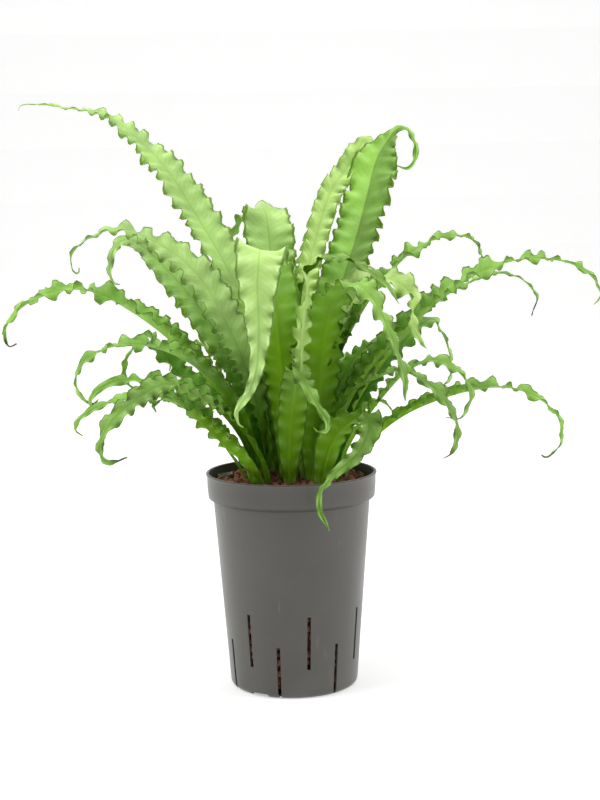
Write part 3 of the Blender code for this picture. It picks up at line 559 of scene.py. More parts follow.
FRONDS = (
    # The left side, from the tallest to the lowest.
    Frond("left_1", "light", 152, 22, (0, -18), (
        (17, 168), (20, 220), (30, 275), (47, 330), (71, 374), (108, 424, -6), (133, 455, -10),
        (159, 478, -14), (190, 500, -18), (215, 510, -20), (244, 515, -18), (268, 519, -15),
        (292, 520, -10), (298, 514, -10)),
        channel=14, taper=0.54, frill=0.85),
    Frond("left_2", "light", 177, 19, (0, -42), (
        (25, 168), (29, 220, 6), (38, 270, 16), (53, 312, 21), (74, 352, 19), (92, 374, 16),
        (116, 391, 13), (144, 403, 11), (164, 402, 10), (182, 393, 10), (192, 382, 10),
        (192, 370, 10), (187, 366, 10), (186, 371, 10)),
        channel=12, taper=0.54, tip=2.6, twist=35, light=-0.08),
    Frond("left_3", "light", 149, 17.5, (0, -44), (
        (30, 168), (36, 210), (56, 270), (90, 320), (124, 356), (152, 380), (172, 392), (189, 389),
        (199, 372), (198, 354), (188, 351)),
        channel=12, taper=0.52, tip=3.2, twist=-50, light=-0.16),
    Frond("left_4", "mid", 179, 15.5, (0, -12), (
        (31, 168), (36, 202), (50, 236), (77, 272), (111, 309), (147, 336), (178, 351), (205, 351),
        (232, 341), (247, 328), (254, 314), (250, 303), (243, 305)),
        channel=46, taper=0.6, tip=3.4, dark=0.38, light=0.3),
    Frond("left_5", "mid", 203, 15, (0, -12), (
        (34, 168), (40, 205), (58, 248), (86, 282), (116, 301), (146, 309), (170, 307), (188, 298),
        (197, 285), (195, 270), (184, 261), (178, 265)),
        channel=36, taper=0.5, frill=0.8, tip=2.6, dark=0.4, light=0.1),
    Frond("left_6", "mid", 171, 15, (0, -20), (
        (36, 168), (42, 200), (56, 232), (78, 255), (102, 272), (120, 298), (134, 310), (146, 297),
        (154, 282), (152, 268), (142, 262), (135, 268)),
        channel=30, taper=0.5, frill=0.8, tip=2.8, twist=40, dark=0.4, light=0.1),
    Frond("left_7", "mid", 209, 13, (0, -25), (
        (38, 168), (43, 195), (56, 226), (80, 254), (110, 272), (140, 279), (168, 281), (186, 274),
        (192, 264), (186, 258)),
        channel=30, tip=3, twist=-30, light=0.15, dark=0.38, frill=0.8),
    Frond("left_8", "mid", 214, 13, (0, -30), (
        (43, 168), (48, 190), (62, 216), (88, 240), (116, 257), (142, 268), (172, 267), (200, 261),
        (214, 248), (208, 240)),
        channel=30, tip=2.6, light=0.1, dark=0.55, frill=0.8),
    Frond("left_9", "mid", 230, 10, (0, -45), (
        (38, 168), (44, 198), (62, 230, -5), (92, 255, -11), (120, 268, -13), (148, 280, -14),
        (170, 273, -18), (190, 262, -22), (204, 249, -25), (210, 238, -26), (210, 228, -24),
        (203, 223, -19), (194, 227, -13)),
        channel=10, taper=0.76, frill=0.8, tip=3, twist=30, light=-0.2),
    Frond("left_10", "deep", 190, 15, (0, 0), (
        (41, 168), (48, 190), (66, 219), (81, 242, 2), (88, 255, 5), (95, 260, 8), (98, 256, 10),
        (95, 250, 12))),

    # The front, towards the camera.
    Frond("front_1", "mid", 268, 13, (0, 0), (
        (32, 168, -5), (36, 205, -5), (44, 245, -2), (57, 274, 2), (70, 285, 4), (84, 280, 9),
        (95, 270, 15), (102, 258, 22), (104, 248, 28), (102, 240, 28), (97, 238, 21), (95, 242, 17)),
        channel=12, taper=0.48, frill=0.8, tip=3.6, light=-0.15, twist=15),
    Frond("front_2", "light", 246, 23, (0, 0), (
        (18, 168), (22, 240), (34, 310), (50, 360), (66, 380), (79, 386, 5), (93, 378, 10),
        (103, 355, 13), (108, 323, 16), (111, 294, 15), (116, 273, 10), (118, 259, 0), (115, 248, -1),
        (111, 244, 2)),
        channel=10, taper=0.54, tip=3.4, light=0.42, fade=-0.42),
    Frond("front_3", "mid", 309, 31, (0, 5), (
        (24, 168), (28, 228), (36, 288, -1), (49, 330, -3), (66, 351, -2), (84, 357, -2), (101, 346),
        (117, 326), (131, 304, -1), (139, 282), (140, 264)),
        taper=0.37, fall=0.52, channel=12, tip=4.6, dark=0.6, light=0.34, fade=-0.34),
    Frond("front_4", "mid", 300, 19, (0, 10), (
        (36, 168), (41, 203, 4), (52, 226, 8), (67, 240, 14), (79, 246, 18), (89, 241, 18),
        (94, 230, 12), (95, 216, 1), (91, 203, -15), (88, 187, -29), (90, 171, -31), (94, 155, -24)),
        taper=0.22, fall=0.66, channel=20, tip=2.8, dark=0.6, light=-0.15),
    Frond("front_5", "mid", 340, 17, (0, 10), (
        (10, 168), (7, 230), (4, 300), (6, 346), (16, 369), (34, 378), (56, 373, -4), (76, 362, -9),
        (90, 350, -12), (98, 338, -12)),
        taper=0.42, frill=0.7, tip=6, dark=0.85, light=-0.1),
    Frond("front_6", "young", 296, 8, (0, 0), (
        (20, 168), (26, 220, -9), (37, 274, -14), (47, 309, -17), (55, 334, -18), (59, 355, -17),
        (56, 365, -18), (50, 368, -18)),
        frill=1.35, taper=0.72),
    Frond("front_7", "mid", 231, 10, (0, 0), (
        (43, 168), (50, 187), (68, 208, -4), (96, 230, -7), (123, 253, -9), (142, 265, -10), (157, 269, -11),
        (166, 265, -13), (164, 259, -12)),
        channel=34, tip=2.4, dark=0.75, light=-0.25),

    # The right side, from the tallest to the lowest.
    Frond("right_1", "mid", 62, 23, (0, 0), (
        (14, 168), (20, 230), (36, 290, -8), (64, 345, -13), (93, 388, -15), (120, 426, -14),
        (147, 462, -12), (166, 481, -15), (179, 492, -19), (189, 491, -26), (192, 478, -32),
        (189, 464, -33), (184, 455, -27), (176, 458, -18)),
        taper=0.72, fall=0.14, channel=16, tip=2.9, twist=55, dark=0.34, light=0.02, fade=0.15, halves=0.26),
    Frond("right_2", "young", 78, 11.5, (0, 20), (
        (8, 168), (14, 240), (28, 310), (50, 362, -2), (71, 388, -5), (90, 413, -9), (112, 438, -15),
        (135, 452, -22), (149, 463, -27), (160, 474, -31), (167, 481, -36), (172, 476, -41), (170, 466, -40),
        (162, 463, -33), (156, 468, -28), (155, 474, -33)),
        taper=0.8, frill=1.1, tip=7),
    Frond("right_3", "mid", 35, 17, (0, -10), (
        (20, 168), (26, 225), (48, 288), (80, 334), (116, 368), (150, 386), (182, 392), (206, 387),
        (218, 372), (212, 360)),
        channel=32, taper=0.5, tip=3.6, twist=35, light=0.15),
    Frond("right_4", "mid", 3, 16, (0, 15), (
        (24, 168), (32, 215), (56, 266), (88, 304), (122, 334), (156, 358), (186, 370), (215, 373),
        (243, 368), (262, 356), (270, 341), (264, 331)),
        channel=36, taper=0.52, tip=3.4, light=0.15),
    Frond("right_5", "mid", 19, 14, (0, -10), (
        (30, 168), (39, 210), (63, 257), (99, 301), (136, 334), (170, 352), (200, 358), (222, 351),
        (236, 334), (230, 318)),
        channel=26, taper=0.44, frill=0.8, tip=2.6, twist=30),
    Frond("right_6", "young", 0, 21, (0, 20), (
        (15, 168), (22, 240), (36, 300, 1), (53, 342, 1), (67, 358), (83, 357, -4), (96, 350, -8),
        (102, 338, -12), (101, 325, -16), (104, 311, -19), (114, 297, -21)),
        taper=0.62, fall=0.34, frill=1.3, channel=34, tip=4, light=-0.02),
    Frond("right_7", "mid", 30, 14, (0, 10), (
        (36, 168), (44, 205), (66, 246), (100, 284), (128, 308), (146, 316), (158, 302), (166, 282),
        (166, 262), (155, 252)),
        taper=0.5, frill=0.75, tip=5, twist=40, light=0.1),
    Frond("right_8", "mid", 342, 14, (0, 10), (
        (33, 168), (39, 195), (52, 222), (72, 250), (96, 277), (116, 288), (133, 288), (150, 275),
        (155, 256), (146, 240), (134, 241)),
        taper=0.5, frill=0.7, tip=3.2),
    Frond("right_9", "mid", 325, 9, (0, 10), (
        (27, 168), (33, 215), (43, 246), (59, 264), (84, 277), (107, 284, -1), (127, 278, -2),
        (142, 268, 1), (152, 255, 2), (158, 241, 4), (158, 227, 3), (153, 216, 2), (147, 212, 1)),
        taper=0.66, frill=0.7, tip=3.4, light=-0.28),
    Frond("right_10", "mid", 355, 10, (0, 15), (
        (40, 168), (46, 194), (64, 216), (92, 238), (122, 252), (154, 261), (184, 263), (210, 254),
        (228, 236), (230, 214), (219, 202), (213, 204)),
        channel=40, taper=0.56, frill=0.8, light=0.15),
    Frond("right_11", "deep", 49, 15, (0, 0), (
        (28, 168), (34, 209), (52, 248), (78, 278), (102, 293, -1), (119, 298, -3), (130, 293, -6),
        (132, 283, -9), (125, 275, -7), (118, 280, -4), (120, 287, -5), (126, 286, -8)),
        taper=0.4, frill=0.6, tip=4, light=0.1),

    # The back, which the camera sees little of.
    Frond("back_1", "light", 110, 24, (0, 0), (
        (27, 168), (35, 240), (47, 300), (57, 352), (65, 398), (79, 419), (98, 414, 8), (112, 394, 20),
        (119, 364, 25), (117, 336, 22)),
        taper=0.66, fall=0.17, tip=5, light=0.1),
    Frond("back_2", "mid", 83, 18, (0, 10), (
        (31, 168), (42, 225), (58, 279), (83, 321), (116, 344), (150, 349), (182, 334), (204, 308),
        (207, 288))),
    Frond("back_3", "mid", 99, 17, (0, -10), (
        (38, 168), (45, 205), (61, 248), (92, 282), (124, 300), (156, 306), (180, 288), (190, 262))),
    Frond("back_4", "mid", 129, 14, (0, 10), (
        (36, 168), (43, 205), (62, 244), (94, 273), (128, 291), (158, 294), (182, 282), (194, 264))),
    Frond("back_5", "mid", 68, 17, (0, 10), (
        (36, 168), (42, 200), (62, 236), (94, 264), (130, 278), (162, 272), (185, 252), (191, 232))),
    Frond("back_6", "deep", 122, 16, (0, 0), (
        (41, 168), (48, 196), (70, 226), (104, 246), (138, 250), (166, 236), (180, 212))),
    Frond("back_7", "deep", 80, 16, (0, 0), (
        (41, 168), (48, 196), (70, 224), (102, 242), (134, 244), (160, 228), (172, 206))),
    Frond("back_8", "deep", 54, 15, (0, 0), (
        (42, 168), (50, 194), (72, 220), (104, 236), (130, 238), (148, 233), (158, 224))),
)

# Fronds whose thin tip has gone brown, and how far back it has.
BROWN_TIPS = {"left_4": 0.9, "left_5": 0.8, "left_9": 0.7, "right_5": 1.0, "right_9": 0.8, "right_10": 0.5}


def smooth(x):
    """Rises from 0 to 1 as x does, level at both ends."""
    x = min(max(x, 0.0), 1.0)
    return x * x * (3 - 2 * x)


def half_width_at(frond, share):
    """Half the blade's width: a stem, then the full width before the middle, then a long taper."""
    widest = frond.half_width * MM
    widened = STEM_SHARE + (1 - STEM_SHARE) * smooth((share - 0.02) / 0.34)
    narrowed = smooth((share - frond.taper) / min(frond.fall, 0.96 - frond.taper))
    full = widest * widened
    full = full + (frond.tip * MM - full) * narrowed
    return full + (TIP_POINT - full) * smooth((share - 0.93) / 0.07)


def midrib(frond):
    """A smooth curve through the frond's points, as closely spaced positions."""
    heading = math.radians(frond.heading)
    outward = Vector((math.cos(heading), math.sin(heading), 0))
    leftward = Vector((-math.sin(heading), math.cos(heading), 0))
    knots = []
    for point in frond.points:
        left = point[2] if len(point) > 2 else 0
        plan = CROWN + (outward * point[0] + leftward * left) * MM
        knots.append(Vector((plan.x, plan.y, point[1] * MM)))
    before = knots[0] - Vector((0, 0, 20 * MM))
    after = 2 * knots[-1] - knots[-2]
    line = [before] + knots + [after]
    places = []
    for a, b, c, d in zip(line, line[1:], line[2:], line[3:]):
        for step in range(MIDRIB_STEPS):
            t = step / MIDRIB_STEPS
            places.append(
                0.5 * (2 * b + (c - a) * t + (2 * a - 5 * b + 4 * c - d) * t * t
                       + (3 * b - a - 3 * c + d) * t * t * t))
    places.append(knots[-1])
    return places


def sway(frond, distance, share):
    """How far the outer part of a folded frond rocks about its midrib, in degrees."""
    rock = math.sin(2 * math.pi * distance / SWAY_PITCH + frond.heading)
    return min(frond.channel, 40) * 0.75 * rock * smooth((share - 0.5) / 0.2)


def course(frond):
    """The midrib's stations as (distance, position, across, up), with the least twist, then rolled."""
    places = midrib(frond)
    heading = math.radians(frond.heading)
    across = Vector((-math.sin(heading), math.cos(heading), 0))
    raw = []
    distance = 0
    for index, place in enumerate(places):
        ahead = places[min(index + 1, len(places) - 1)]
        behind = places[max(index - 1, 0)]
        along = (ahead - behind).normalized()
        across = (across - along * across.dot(along)).normalized()
        if index:
            distance += (place - behind).length
        raw.append((distance, place, along, across))
    foot_roll, tip_roll = frond.roll
    stations = []
    for distance, place, along, across in raw:
        share = distance / raw[-1][0]
        degrees = foot_roll + (tip_roll - foot_roll) * smooth(share / ROLLED_BY)
        degrees += frond.twist * smooth((share - 0.62) / 0.3) + sway(frond, distance, share)
        across = Matrix.Rotation(math.radians(degrees), 3, along) @ across
        stations.append((distance, place, across, along.cross(across)))
    return stations


def even_course(frond):
    """The stations at even steps along the midrib."""
    stations = course(frond)
    length = stations[-1][0]
    rows = max(round(length / ROW_STEP), 8)
    even = []
    low = 0
    for row in range(rows + 1):
        distance = length * row / rows
        while low < len(stations) - 2 and stations[low + 1][0] < distance:
            low += 1
        first, second = stations[low], stations[low + 1]
        share = (distance - first[0]) / max(second[0] - first[0], 1e-9)
        place, across, up = (a.lerp(b, share) for a, b in zip(first[1:], second[1:]))
        even.append((distance, place, across.normalized(), up.normalized()))
    return even, length


def crimps(draw, length, pitches):
    """Where each crimp of one edge ends, and its strength. No two are alike."""
    near, far = pitches
    ends = [-near * draw.random()]
    while ends[-1] < length:
        pitch = near + (far - near) * smooth((ends[-1] / length - 0.45) / 0.4)
        ends.append(ends[-1] + pitch * draw.uniform(0.68, 1.4))
    return ends, [draw.uniform(0.5, 1.35) for _ in ends]


def crimp_at(ends, strengths, distance):
    """The phase, in radians, and the strength of the frill at a distance."""
    index = 0
    while index < len(ends) - 2 and ends[index + 1] <= distance:
        index += 1
    share = (distance - ends[index]) / (ends[index + 1] - ends[index])
    strength = strengths[index] + (strengths[index + 1] - strengths[index]) * share
    return 2 * math.pi * (index + share), strength


def guide(frond, draw):
    """The midrib as a row of points that carry what the blade tree needs at each station."""
    stations, length = even_course(frond)
    frills = [crimps(draw, length, FRILL_PITCH) for _ in range(2)]
    crinkles = [crimps(draw, length, CRINKLE_PITCH) for _ in range(2)]
    count = len(stations)
    mesh = bpy.data.meshes.new(frond.name)
    mesh.from_pydata([station[1] for station in stations], [(i, i + 1) for i in range(count - 1)], [])
    labels = ("across", "up", "reach", "shade", "frill", "height", "crinkle", "crinkle_height")
    columns = {label: [] for label in labels}
    for distance, place, across, up in stations:
        share = distance / length
        half = half_width_at(frond, share)
        past_foot = smooth((distance - 25 * MM) / (60 * MM))
        full = frond.frill * past_foot * min(half / (9 * MM), 1) ** 0.9 * (0.3 + 0.7 * smooth((share - 0.12) / 0.3))
        channel = math.radians(frond.channel) * past_foot * (1 - 0.8 * smooth((share - 0.46) / 0.26))
        columns["across"].append(across)
        columns["up"].append(up)
        columns["reach"].append((half, channel, distance))
        # Painted light and shade: lighter or darker towards the tip by fade, and the left half lighter than the right
        # by halves.
        faded = frond.fade * smooth((share - 0.5) / 0.35)
        columns["shade"].append((faded + frond.halves, faded - frond.halves, 0))
        for label, edges, height in (("frill", frills, FRILL_HEIGHT), ("crinkle", crinkles, CRINKLE_HEIGHT)):
            (left, left_strength), (right, right_strength) = (crimp_at(*edge, distance) for edge in edges)
            columns[label].append((left, right, 0))
            heights = (height * full * left_strength, height * full * right_strength, 0)
            columns["height" if label == "frill" else "crinkle_height"].append(heights)
    for label, values in columns.items():
        made = mesh.attributes.new(label, "FLOAT_VECTOR", "POINT")
        made.data.foreach_set("vector", [number for value in values for number in value])
    made = bpy.data.objects.new("fern_" + frond.name, mesh)
    bpy.context.scene.collection.objects.link(made)
    return made, count


def blade_tree():
    """Sweeps a frilled blade along its guide: an upper sheet and a lower one, joined at their edges."""
    tree, given, out = new_group("blade", "GeometryNodeTree", {
        "Geometry": ("NodeSocketGeometry", None),
        "Rows": ("NodeSocketInt", None),
        "Columns": ("NodeSocketInt", None),
        "Frill slant": ("NodeSocketFloat", None),
        "Frill fold": ("NodeSocketFloat", None),
        "Frill depth": ("NodeSocketFloat", None),
        "Lobes": ("NodeSocketFloat", None),
        "Edge curl": ("NodeSocketFloat", None),
        "Billow": ("NodeSocketFloat", None),
        "Seed": ("NodeSocketFloat", None),
        "Thickness": ("NodeSocketFloat", None),
        "Rib half width": ("NodeSocketFloat", None),
        "Groove": ("NodeSocketFloat", None),
        "Keel": ("NodeSocketFloat", None),
        "Tone": ("NodeSocketVector", None),
        "Material": ("NodeSocketMaterial", None),
    }, {"Geometry": ("NodeSocketGeometry", None)})
    inputs = {"Vertices X": given["Columns"], "Vertices Y": given["Rows"]}
    sheet = node(tree, "GeometryNodeMeshGrid", inputs).outputs[0]
    index = node(tree, "GeometryNodeInputIndex").outputs[0]
    row = maths(tree, "FLOORED_MODULO", index, given["Rows"])
    column = maths(tree, "FLOOR", maths(tree, "DIVIDE", index, given["Rows"]))
    last = maths(tree, "SUBTRACT", given["Columns"], 1)
    evenly = maths(tree, "SUBTRACT", 1.0, maths(tree, "DIVIDE", maths(tree, "MULTIPLY", column, 2.0), last))
    outward = maths(tree, "ABSOLUTE", evenly)
    near_rib = maths(tree, "POWER", outward, 1.25)
    near_edge = maths(tree, "SUBTRACT", 1.0, maths(tree, "POWER", maths(tree, "SUBTRACT", 1.0, outward), 1.4))
    spread = maths(tree, "MULTIPLY", maths(tree, "ADD", near_rib, near_edge), 0.5)
    side = maths(tree, "MULTIPLY", maths(tree, "SIGN", evenly), spread)

    def at_row(label):
        """What the guide carries at this row."""
        if label == "position":
            carried = node(tree, "GeometryNodeInputPosition").outputs[0]
        else:
            carried = node(tree, "GeometryNodeInputNamedAttribute", {0: label}, data_type="FLOAT_VECTOR").outputs[0]
        inputs = {"Geometry": given["Geometry"], "Value": carried, "Index": row}
        return node(tree, "GeometryNodeSampleIndex", inputs, data_type="FLOAT_VECTOR", domain="POINT").outputs[0]

    def parts(vector):
        return node(tree, "ShaderNodeSeparateXYZ", {0: vector}).outputs

    across, up = at_row("across"), at_row("up")
    along = vectors(tree, "CROSS_PRODUCT", across, up)
    reach, channel, distance = parts(at_row("reach"))
    is_left = maths(tree, "GREATER_THAN", side, 0.0)

    def this_edge(label):
        """What the guide carries for the edge that this point is nearer to."""
        left, right = parts(at_row(label))[:2]
        return node(tree, "ShaderNodeMix", {0: is_left, 2: right, 3: left}).outputs[0]

    inner = maths(tree, "SUBTRACT", 1.0, spread)
    phase = maths(tree, "MULTIPLY_ADD", inner, given["Frill slant"], this_edge("frill"))
    inner_edge = maths(tree, "SUBTRACT", 1.0, maths(tree, "DIVIDE", given["Frill depth"], reach))
    inner_edge = maths(tree, "MAXIMUM", inner_edge, 0.05)
    share_out = maths(tree, "POWER", ranged(tree, spread, inner_edge, 1.0, kind="LINEAR"), 1.5)
    share_out = maths(tree, "MULTIPLY_ADD", spread, 0.2, share_out)
    frill = maths(tree, "MULTIPLY", share_out, this_edge("height"))
    swing = maths(tree, "SINE", phase)
    crinkle = maths(tree, "MULTIPLY", ranged(tree, spread, 0.55, 1.0), this_edge("crinkle_height"))
    crinkle = maths(tree, "MULTIPLY", crinkle, maths(tree, "SINE", this_edge("crinkle")))
    lift = maths(tree, "MULTIPLY_ADD", frill, swing, crinkle)
    aside = maths(tree, "MULTIPLY", side, reach)
    flat_place = node(tree, "ShaderNodeCombineXYZ", {0: aside, 1: distance, 2: given["Seed"]}).outputs[0]
    billow = node(tree, "ShaderNodeTexNoise", {0: flat_place, "Scale": 52.0, "Detail": 1.0}).outputs[0]
    billow = maths(tree, "MULTIPLY", maths(tree, "SUBTRACT", billow, 0.5), ranged(tree, spread, 0.05, 0.5))
    lift = maths(tree, "MULTIPLY_ADD", billow, given["Billow"], lift)
    doubled = maths(tree, "SINE", maths(tree, "MULTIPLY", phase, 2.0))
    slide = maths(tree, "MULTIPLY", maths(tree, "MULTIPLY", frill, doubled), maths(tree, "MULTIPLY", given["Frill fold"], -1.0))
    crested = maths(tree, "SUBTRACT", maths(tree, "MULTIPLY", swing, swing), 0.5)
    lobe = maths(tree, "MULTIPLY", maths(tree, "MULTIPLY", frill, crested), given["Lobes"])
    curl = maths(tree, "MULTIPLY", maths(tree, "MULTIPLY", swing, swing), given["Edge curl"])
    curl = maths(tree, "MULTIPLY", maths(tree, "MULTIPLY", ranged(tree, spread, 0.72, 1.0), this_edge("height")), curl)
    wider = maths(tree, "ADD", maths(tree, "SUBTRACT", lobe, curl), maths(tree, "MULTIPLY", crinkle, 0.35))
    out_along_half = maths(tree, "MULTIPLY_ADD", spread, reach, wider)
    handed = maths(tree, "SIGN", evenly)
    rising, level = maths(tree, "SINE", channel), maths(tree, "COSINE", channel)
    sideways = maths(tree, "SUBTRACT", maths(tree, "MULTIPLY", out_along_half, level), maths(tree, "MULTIPLY", lift, rising))
    upwards = maths(tree, "MULTIPLY_ADD", out_along_half, rising, maths(tree, "MULTIPLY", lift, level))
    place = at_row("position")
    for direction, amount in ((across, maths(tree, "MULTIPLY", handed, sideways)), (up, upwards), (along, slide)):
        place = vectors(tree, "ADD", place, stretched(tree, direction, amount))
    sheet = node(tree, "GeometryNodeSetPosition", {"Geometry": sheet, "Position": place}).outputs[0]

    def stored(mesh, label, value, kind="FLOAT_VECTOR", domain="POINT"):
        inputs = {"Geometry": mesh, "Name": label, "Value": value}
        return node(tree, "GeometryNodeStoreNamedAttribute", inputs, data_type=kind, domain=domain).outputs[0]

    share = maths(tree, "DIVIDE", row, maths(tree, "SUBTRACT", given["Rows"], 1))
    sheet = stored(sheet, "blade", node(tree, "ShaderNodeCombineXYZ", {0: side, 1: distance, 2: aside}).outputs[0])
    # The tone's lightness gets the painted light and shade of this row and half added.
    shade = node(tree, "ShaderNodeCombineXYZ", {0: this_edge("shade")}).outputs[0]
    sheet = stored(sheet, "tone", vectors(tree, "ADD", given["Tone"], shade))
    sheet = stored(sheet, "share", share, kind="FLOAT")
    # Where the frill crests and dips, which the finish paints as lit and shaded.
    crest = node(tree, "ShaderNodeCombineXYZ", {0: maths(tree, "MULTIPLY", share_out, swing), 1: swing}).outputs[0]
    sheet = stored(sheet, "crest", crest)
    blade_side = parts(node(tree, "GeometryNodeInputNamedAttribute", {0: "blade"}, data_type="FLOAT_VECTOR").outputs[0])
    blade_share = node(tree, "GeometryNodeInputNamedAttribute", {0: "share"}, data_type="FLOAT").outputs[0]
    flat = maths(tree, "MULTIPLY_ADD", blade_side[0], 0.5, 0.5)
    unrolled = node(tree, "ShaderNodeCombineXYZ", {0: flat, 1: blade_share}).outputs[0]
    sheet = stored(sheet, "UVMap", unrolled, kind="FLOAT2", domain="CORNER")

    edge = maths(tree, "SUBTRACT", 1.0, maths(tree, "POWER", maths(tree, "ABSOLUTE", blade_side[0]), 6.0))
    foot_end = maths(tree, "MULTIPLY", blade_share, 60.0, clamp=True)
    tip_end = maths(tree, "MULTIPLY", maths(tree, "SUBTRACT", 1.0, blade_share), 60.0, clamp=True)
    body = maths(tree, "MULTIPLY", edge, maths(tree, "MULTIPLY", foot_end, tip_end))
    rib = ranged(tree, maths(tree, "ABSOLUTE", blade_side[2]), given["Rib half width"], 0.0)
    rib = maths(tree, "MULTIPLY", rib, maths(tree, "SUBTRACT", 1.0, maths(tree, "MULTIPLY", blade_share, 0.6)))
    half = maths(tree, "MULTIPLY", given["Thickness"], 0.5)
    above = maths(tree, "SUBTRACT", half, maths(tree, "MULTIPLY", rib, given["Groove"]))
    below = maths(tree, "MULTIPLY_ADD", rib, given["Keel"], half)
    normal = node(tree, "GeometryNodeInputNormal").outputs[0]
    both = node(tree, "GeometryNodeJoinGeometry")
    flipped = node(tree, "GeometryNodeFlipFaces", {0: stored(sheet, "under", 1.0, kind="FLOAT")}).outputs[0]
    for mesh, offset in ((stored(sheet, "under", 0.0, kind="FLOAT"), above), (flipped, below)):
        push = stretched(tree, normal, maths(tree, "MULTIPLY", offset, body))
        mesh = node(tree, "GeometryNodeSetPosition", {"Geometry": mesh, "Offset": push}).outputs[0]
        tree.links.new(mesh, both.inputs[0])
    closed = node(tree, "GeometryNodeMergeByDistance", {"Geometry": both.outputs[0], "Distance": 2e-6}).outputs[0]
    closed = sharpened(tree, closed, math.radians(100))
    closed = node(tree, "GeometryNodeRealizeInstances", {0: closed}).outputs[0]
    closed = node(tree, "GeometryNodeSetMaterial", {"Geometry": closed, "Material": given["Material"]}).outputs[0]
    tree.links.new(closed, out.inputs[0])
    return tree


def leaf_surface():
    """What the fronds' finishes share: veins, groove, mottling and a browned tip, with painted light and shade: a
    shaded foot and underside, a shaded line along each edge, shaded troughs and lit crests in the frill, and lit and
    shaded folds.
    """
    tree, given, out = new_group("leaf_surface", "ShaderNodeTree", {
        "Face": ("NodeSocketColor", None),
        "Foot": ("NodeSocketColor", None),
        "Edge": ("NodeSocketColor", None),
        "Rib": ("NodeSocketColor", None),
        "Veins": ("NodeSocketFloat", 0.3),
    }, {
        "Colour": ("NodeSocketColor", None),
        "Roughness": ("NodeSocketFloat", None),
        "Normal": ("NodeSocketVector", None),
    })
    place = node(tree, "ShaderNodeTexCoord").outputs["Object"]
    blade = node(tree, "ShaderNodeAttribute", attribute_name="blade").outputs["Vector"]
    side, distance, aside = node(tree, "ShaderNodeSeparateXYZ", {0: blade}).outputs
    tone = node(tree, "ShaderNodeAttribute", attribute_name="tone").outputs["Vector"]
    tone_and_painted_light, browned, dark = node(tree, "ShaderNodeSeparateXYZ", {0: tone}).outputs
    under = node(tree, "ShaderNodeAttribute", attribute_name="under").outputs["Fac"]
    share = node(tree, "ShaderNodeAttribute", attribute_name="share").outputs["Fac"]
    crest = node(tree, "ShaderNodeAttribute", attribute_name="crest").outputs["Vector"]
    crest = stretched(tree, crest, maths(tree, "MULTIPLY_ADD", under, -2.0, 1.0))
    crest, swing, _ = node(tree, "ShaderNodeSeparateXYZ", {0: crest}).outputs
    outward = maths(tree, "ABSOLUTE", side)
    apart = maths(tree, "ABSOLUTE", aside)

    slanted = maths(tree, "MULTIPLY_ADD", apart, -0.75, distance)
    wander = node(tree, "ShaderNodeTexNoise", {0: place, "Scale": 60.0, "Detail": 2.0}).outputs[0]
    slanted = maths(tree, "MULTIPLY_ADD", wander, 0.012, slanted)
    fine = maths(tree, "SINE", maths(tree, "MULTIPLY", slanted, 2 * math.pi / (1.5 * MM)))
    broad = maths(tree, "SINE", maths(tree, "MULTIPLY", slanted, 2 * math.pi / (5.2 * MM)))
    veins = maths(tree, "MULTIPLY_ADD", broad, 0.45, fine)
    veins = maths(tree, "MULTIPLY", veins, ranged(tree, apart, 0.5 * MM, 3 * MM))

    # Painted shade: up to where the tone's dark share ends, a little further on the underside, the blade takes the
    # darker foot colour.
    shaded_foot_end = maths(tree, "MULTIPLY_ADD", under, 0.2, dark)
    past_foot = ranged(tree, maths(tree, "SUBTRACT", share, shaded_foot_end), -0.38, 0.0)
    face = mixed(tree, past_foot, given["Foot"], given["Face"])
    mottle = node(tree, "ShaderNodeTexNoise", {0: place, "Scale": 38.0, "Detail": 3.0}).outputs[0]
    shade = ranged(tree, mottle, 0.3, 0.7, -0.16, 0.16)
    shade = maths(tree, "ADD", shade, tone_and_painted_light)
    # Painted shade in the troughs of the frill.
    shade = maths(tree, "SUBTRACT", shade, ranged(tree, crest, -0.1, -0.8, 0.0, 0.45))
    # Lighter within 120 mm of each frond's base.
    shade = maths(tree, "ADD", shade, ranged(tree, distance, 120 * MM, 30 * MM, 0.0, 0.6))
    # Painted light and shade across the folds of the frill: lighter on one side of each fold, darker on the other.
    painted_fold_shading = maths(tree, "MULTIPLY", swing, ranged(tree, outward, 0.02, 0.4))
    shade = maths(tree, "MULTIPLY_ADD", painted_fold_shading, 0.06, shade)
    shade = maths(tree, "MULTIPLY_ADD", veins, maths(tree, "MULTIPLY", given["Veins"], 0.22), shade)
    bright = maths(tree, "ADD", shade, 1.0)
    face = node(tree, "ShaderNodeVectorMath", {0: face, "Scale": bright}, operation="SCALE").outputs[0]
    # Painted highlights: paler and brighter on the frill's crests and on the lit side of its folds.
    lit = maths(tree, "MAXIMUM", ranged(tree, crest, 0.1, 0.9), maths(tree, "MULTIPLY", painted_fold_shading, 0.4))
    inputs = {"Saturation": 0.8, "Value": 1.28, "Fac": lit, "Color": face}
    face = node(tree, "ShaderNodeHueSaturation", inputs).outputs[0]
    # Painted shade: the underside is taken a quarter of the way to the foot colour.
    with_painted_underside_shade = mixed(tree, maths(tree, "MULTIPLY", under, 0.25), face, given["Foot"])
    rib = ranged(tree, apart, 1.1 * MM, 0.3 * MM)
    on_rib = mixed(tree, under, mixed(tree, 0.3, with_painted_underside_shade, given["Edge"]), mixed(tree, past_foot, with_painted_underside_shade, given["Rib"]))
    face = mixed(tree, maths(tree, "MULTIPLY", rib, 0.7), with_painted_underside_shade, on_rib)
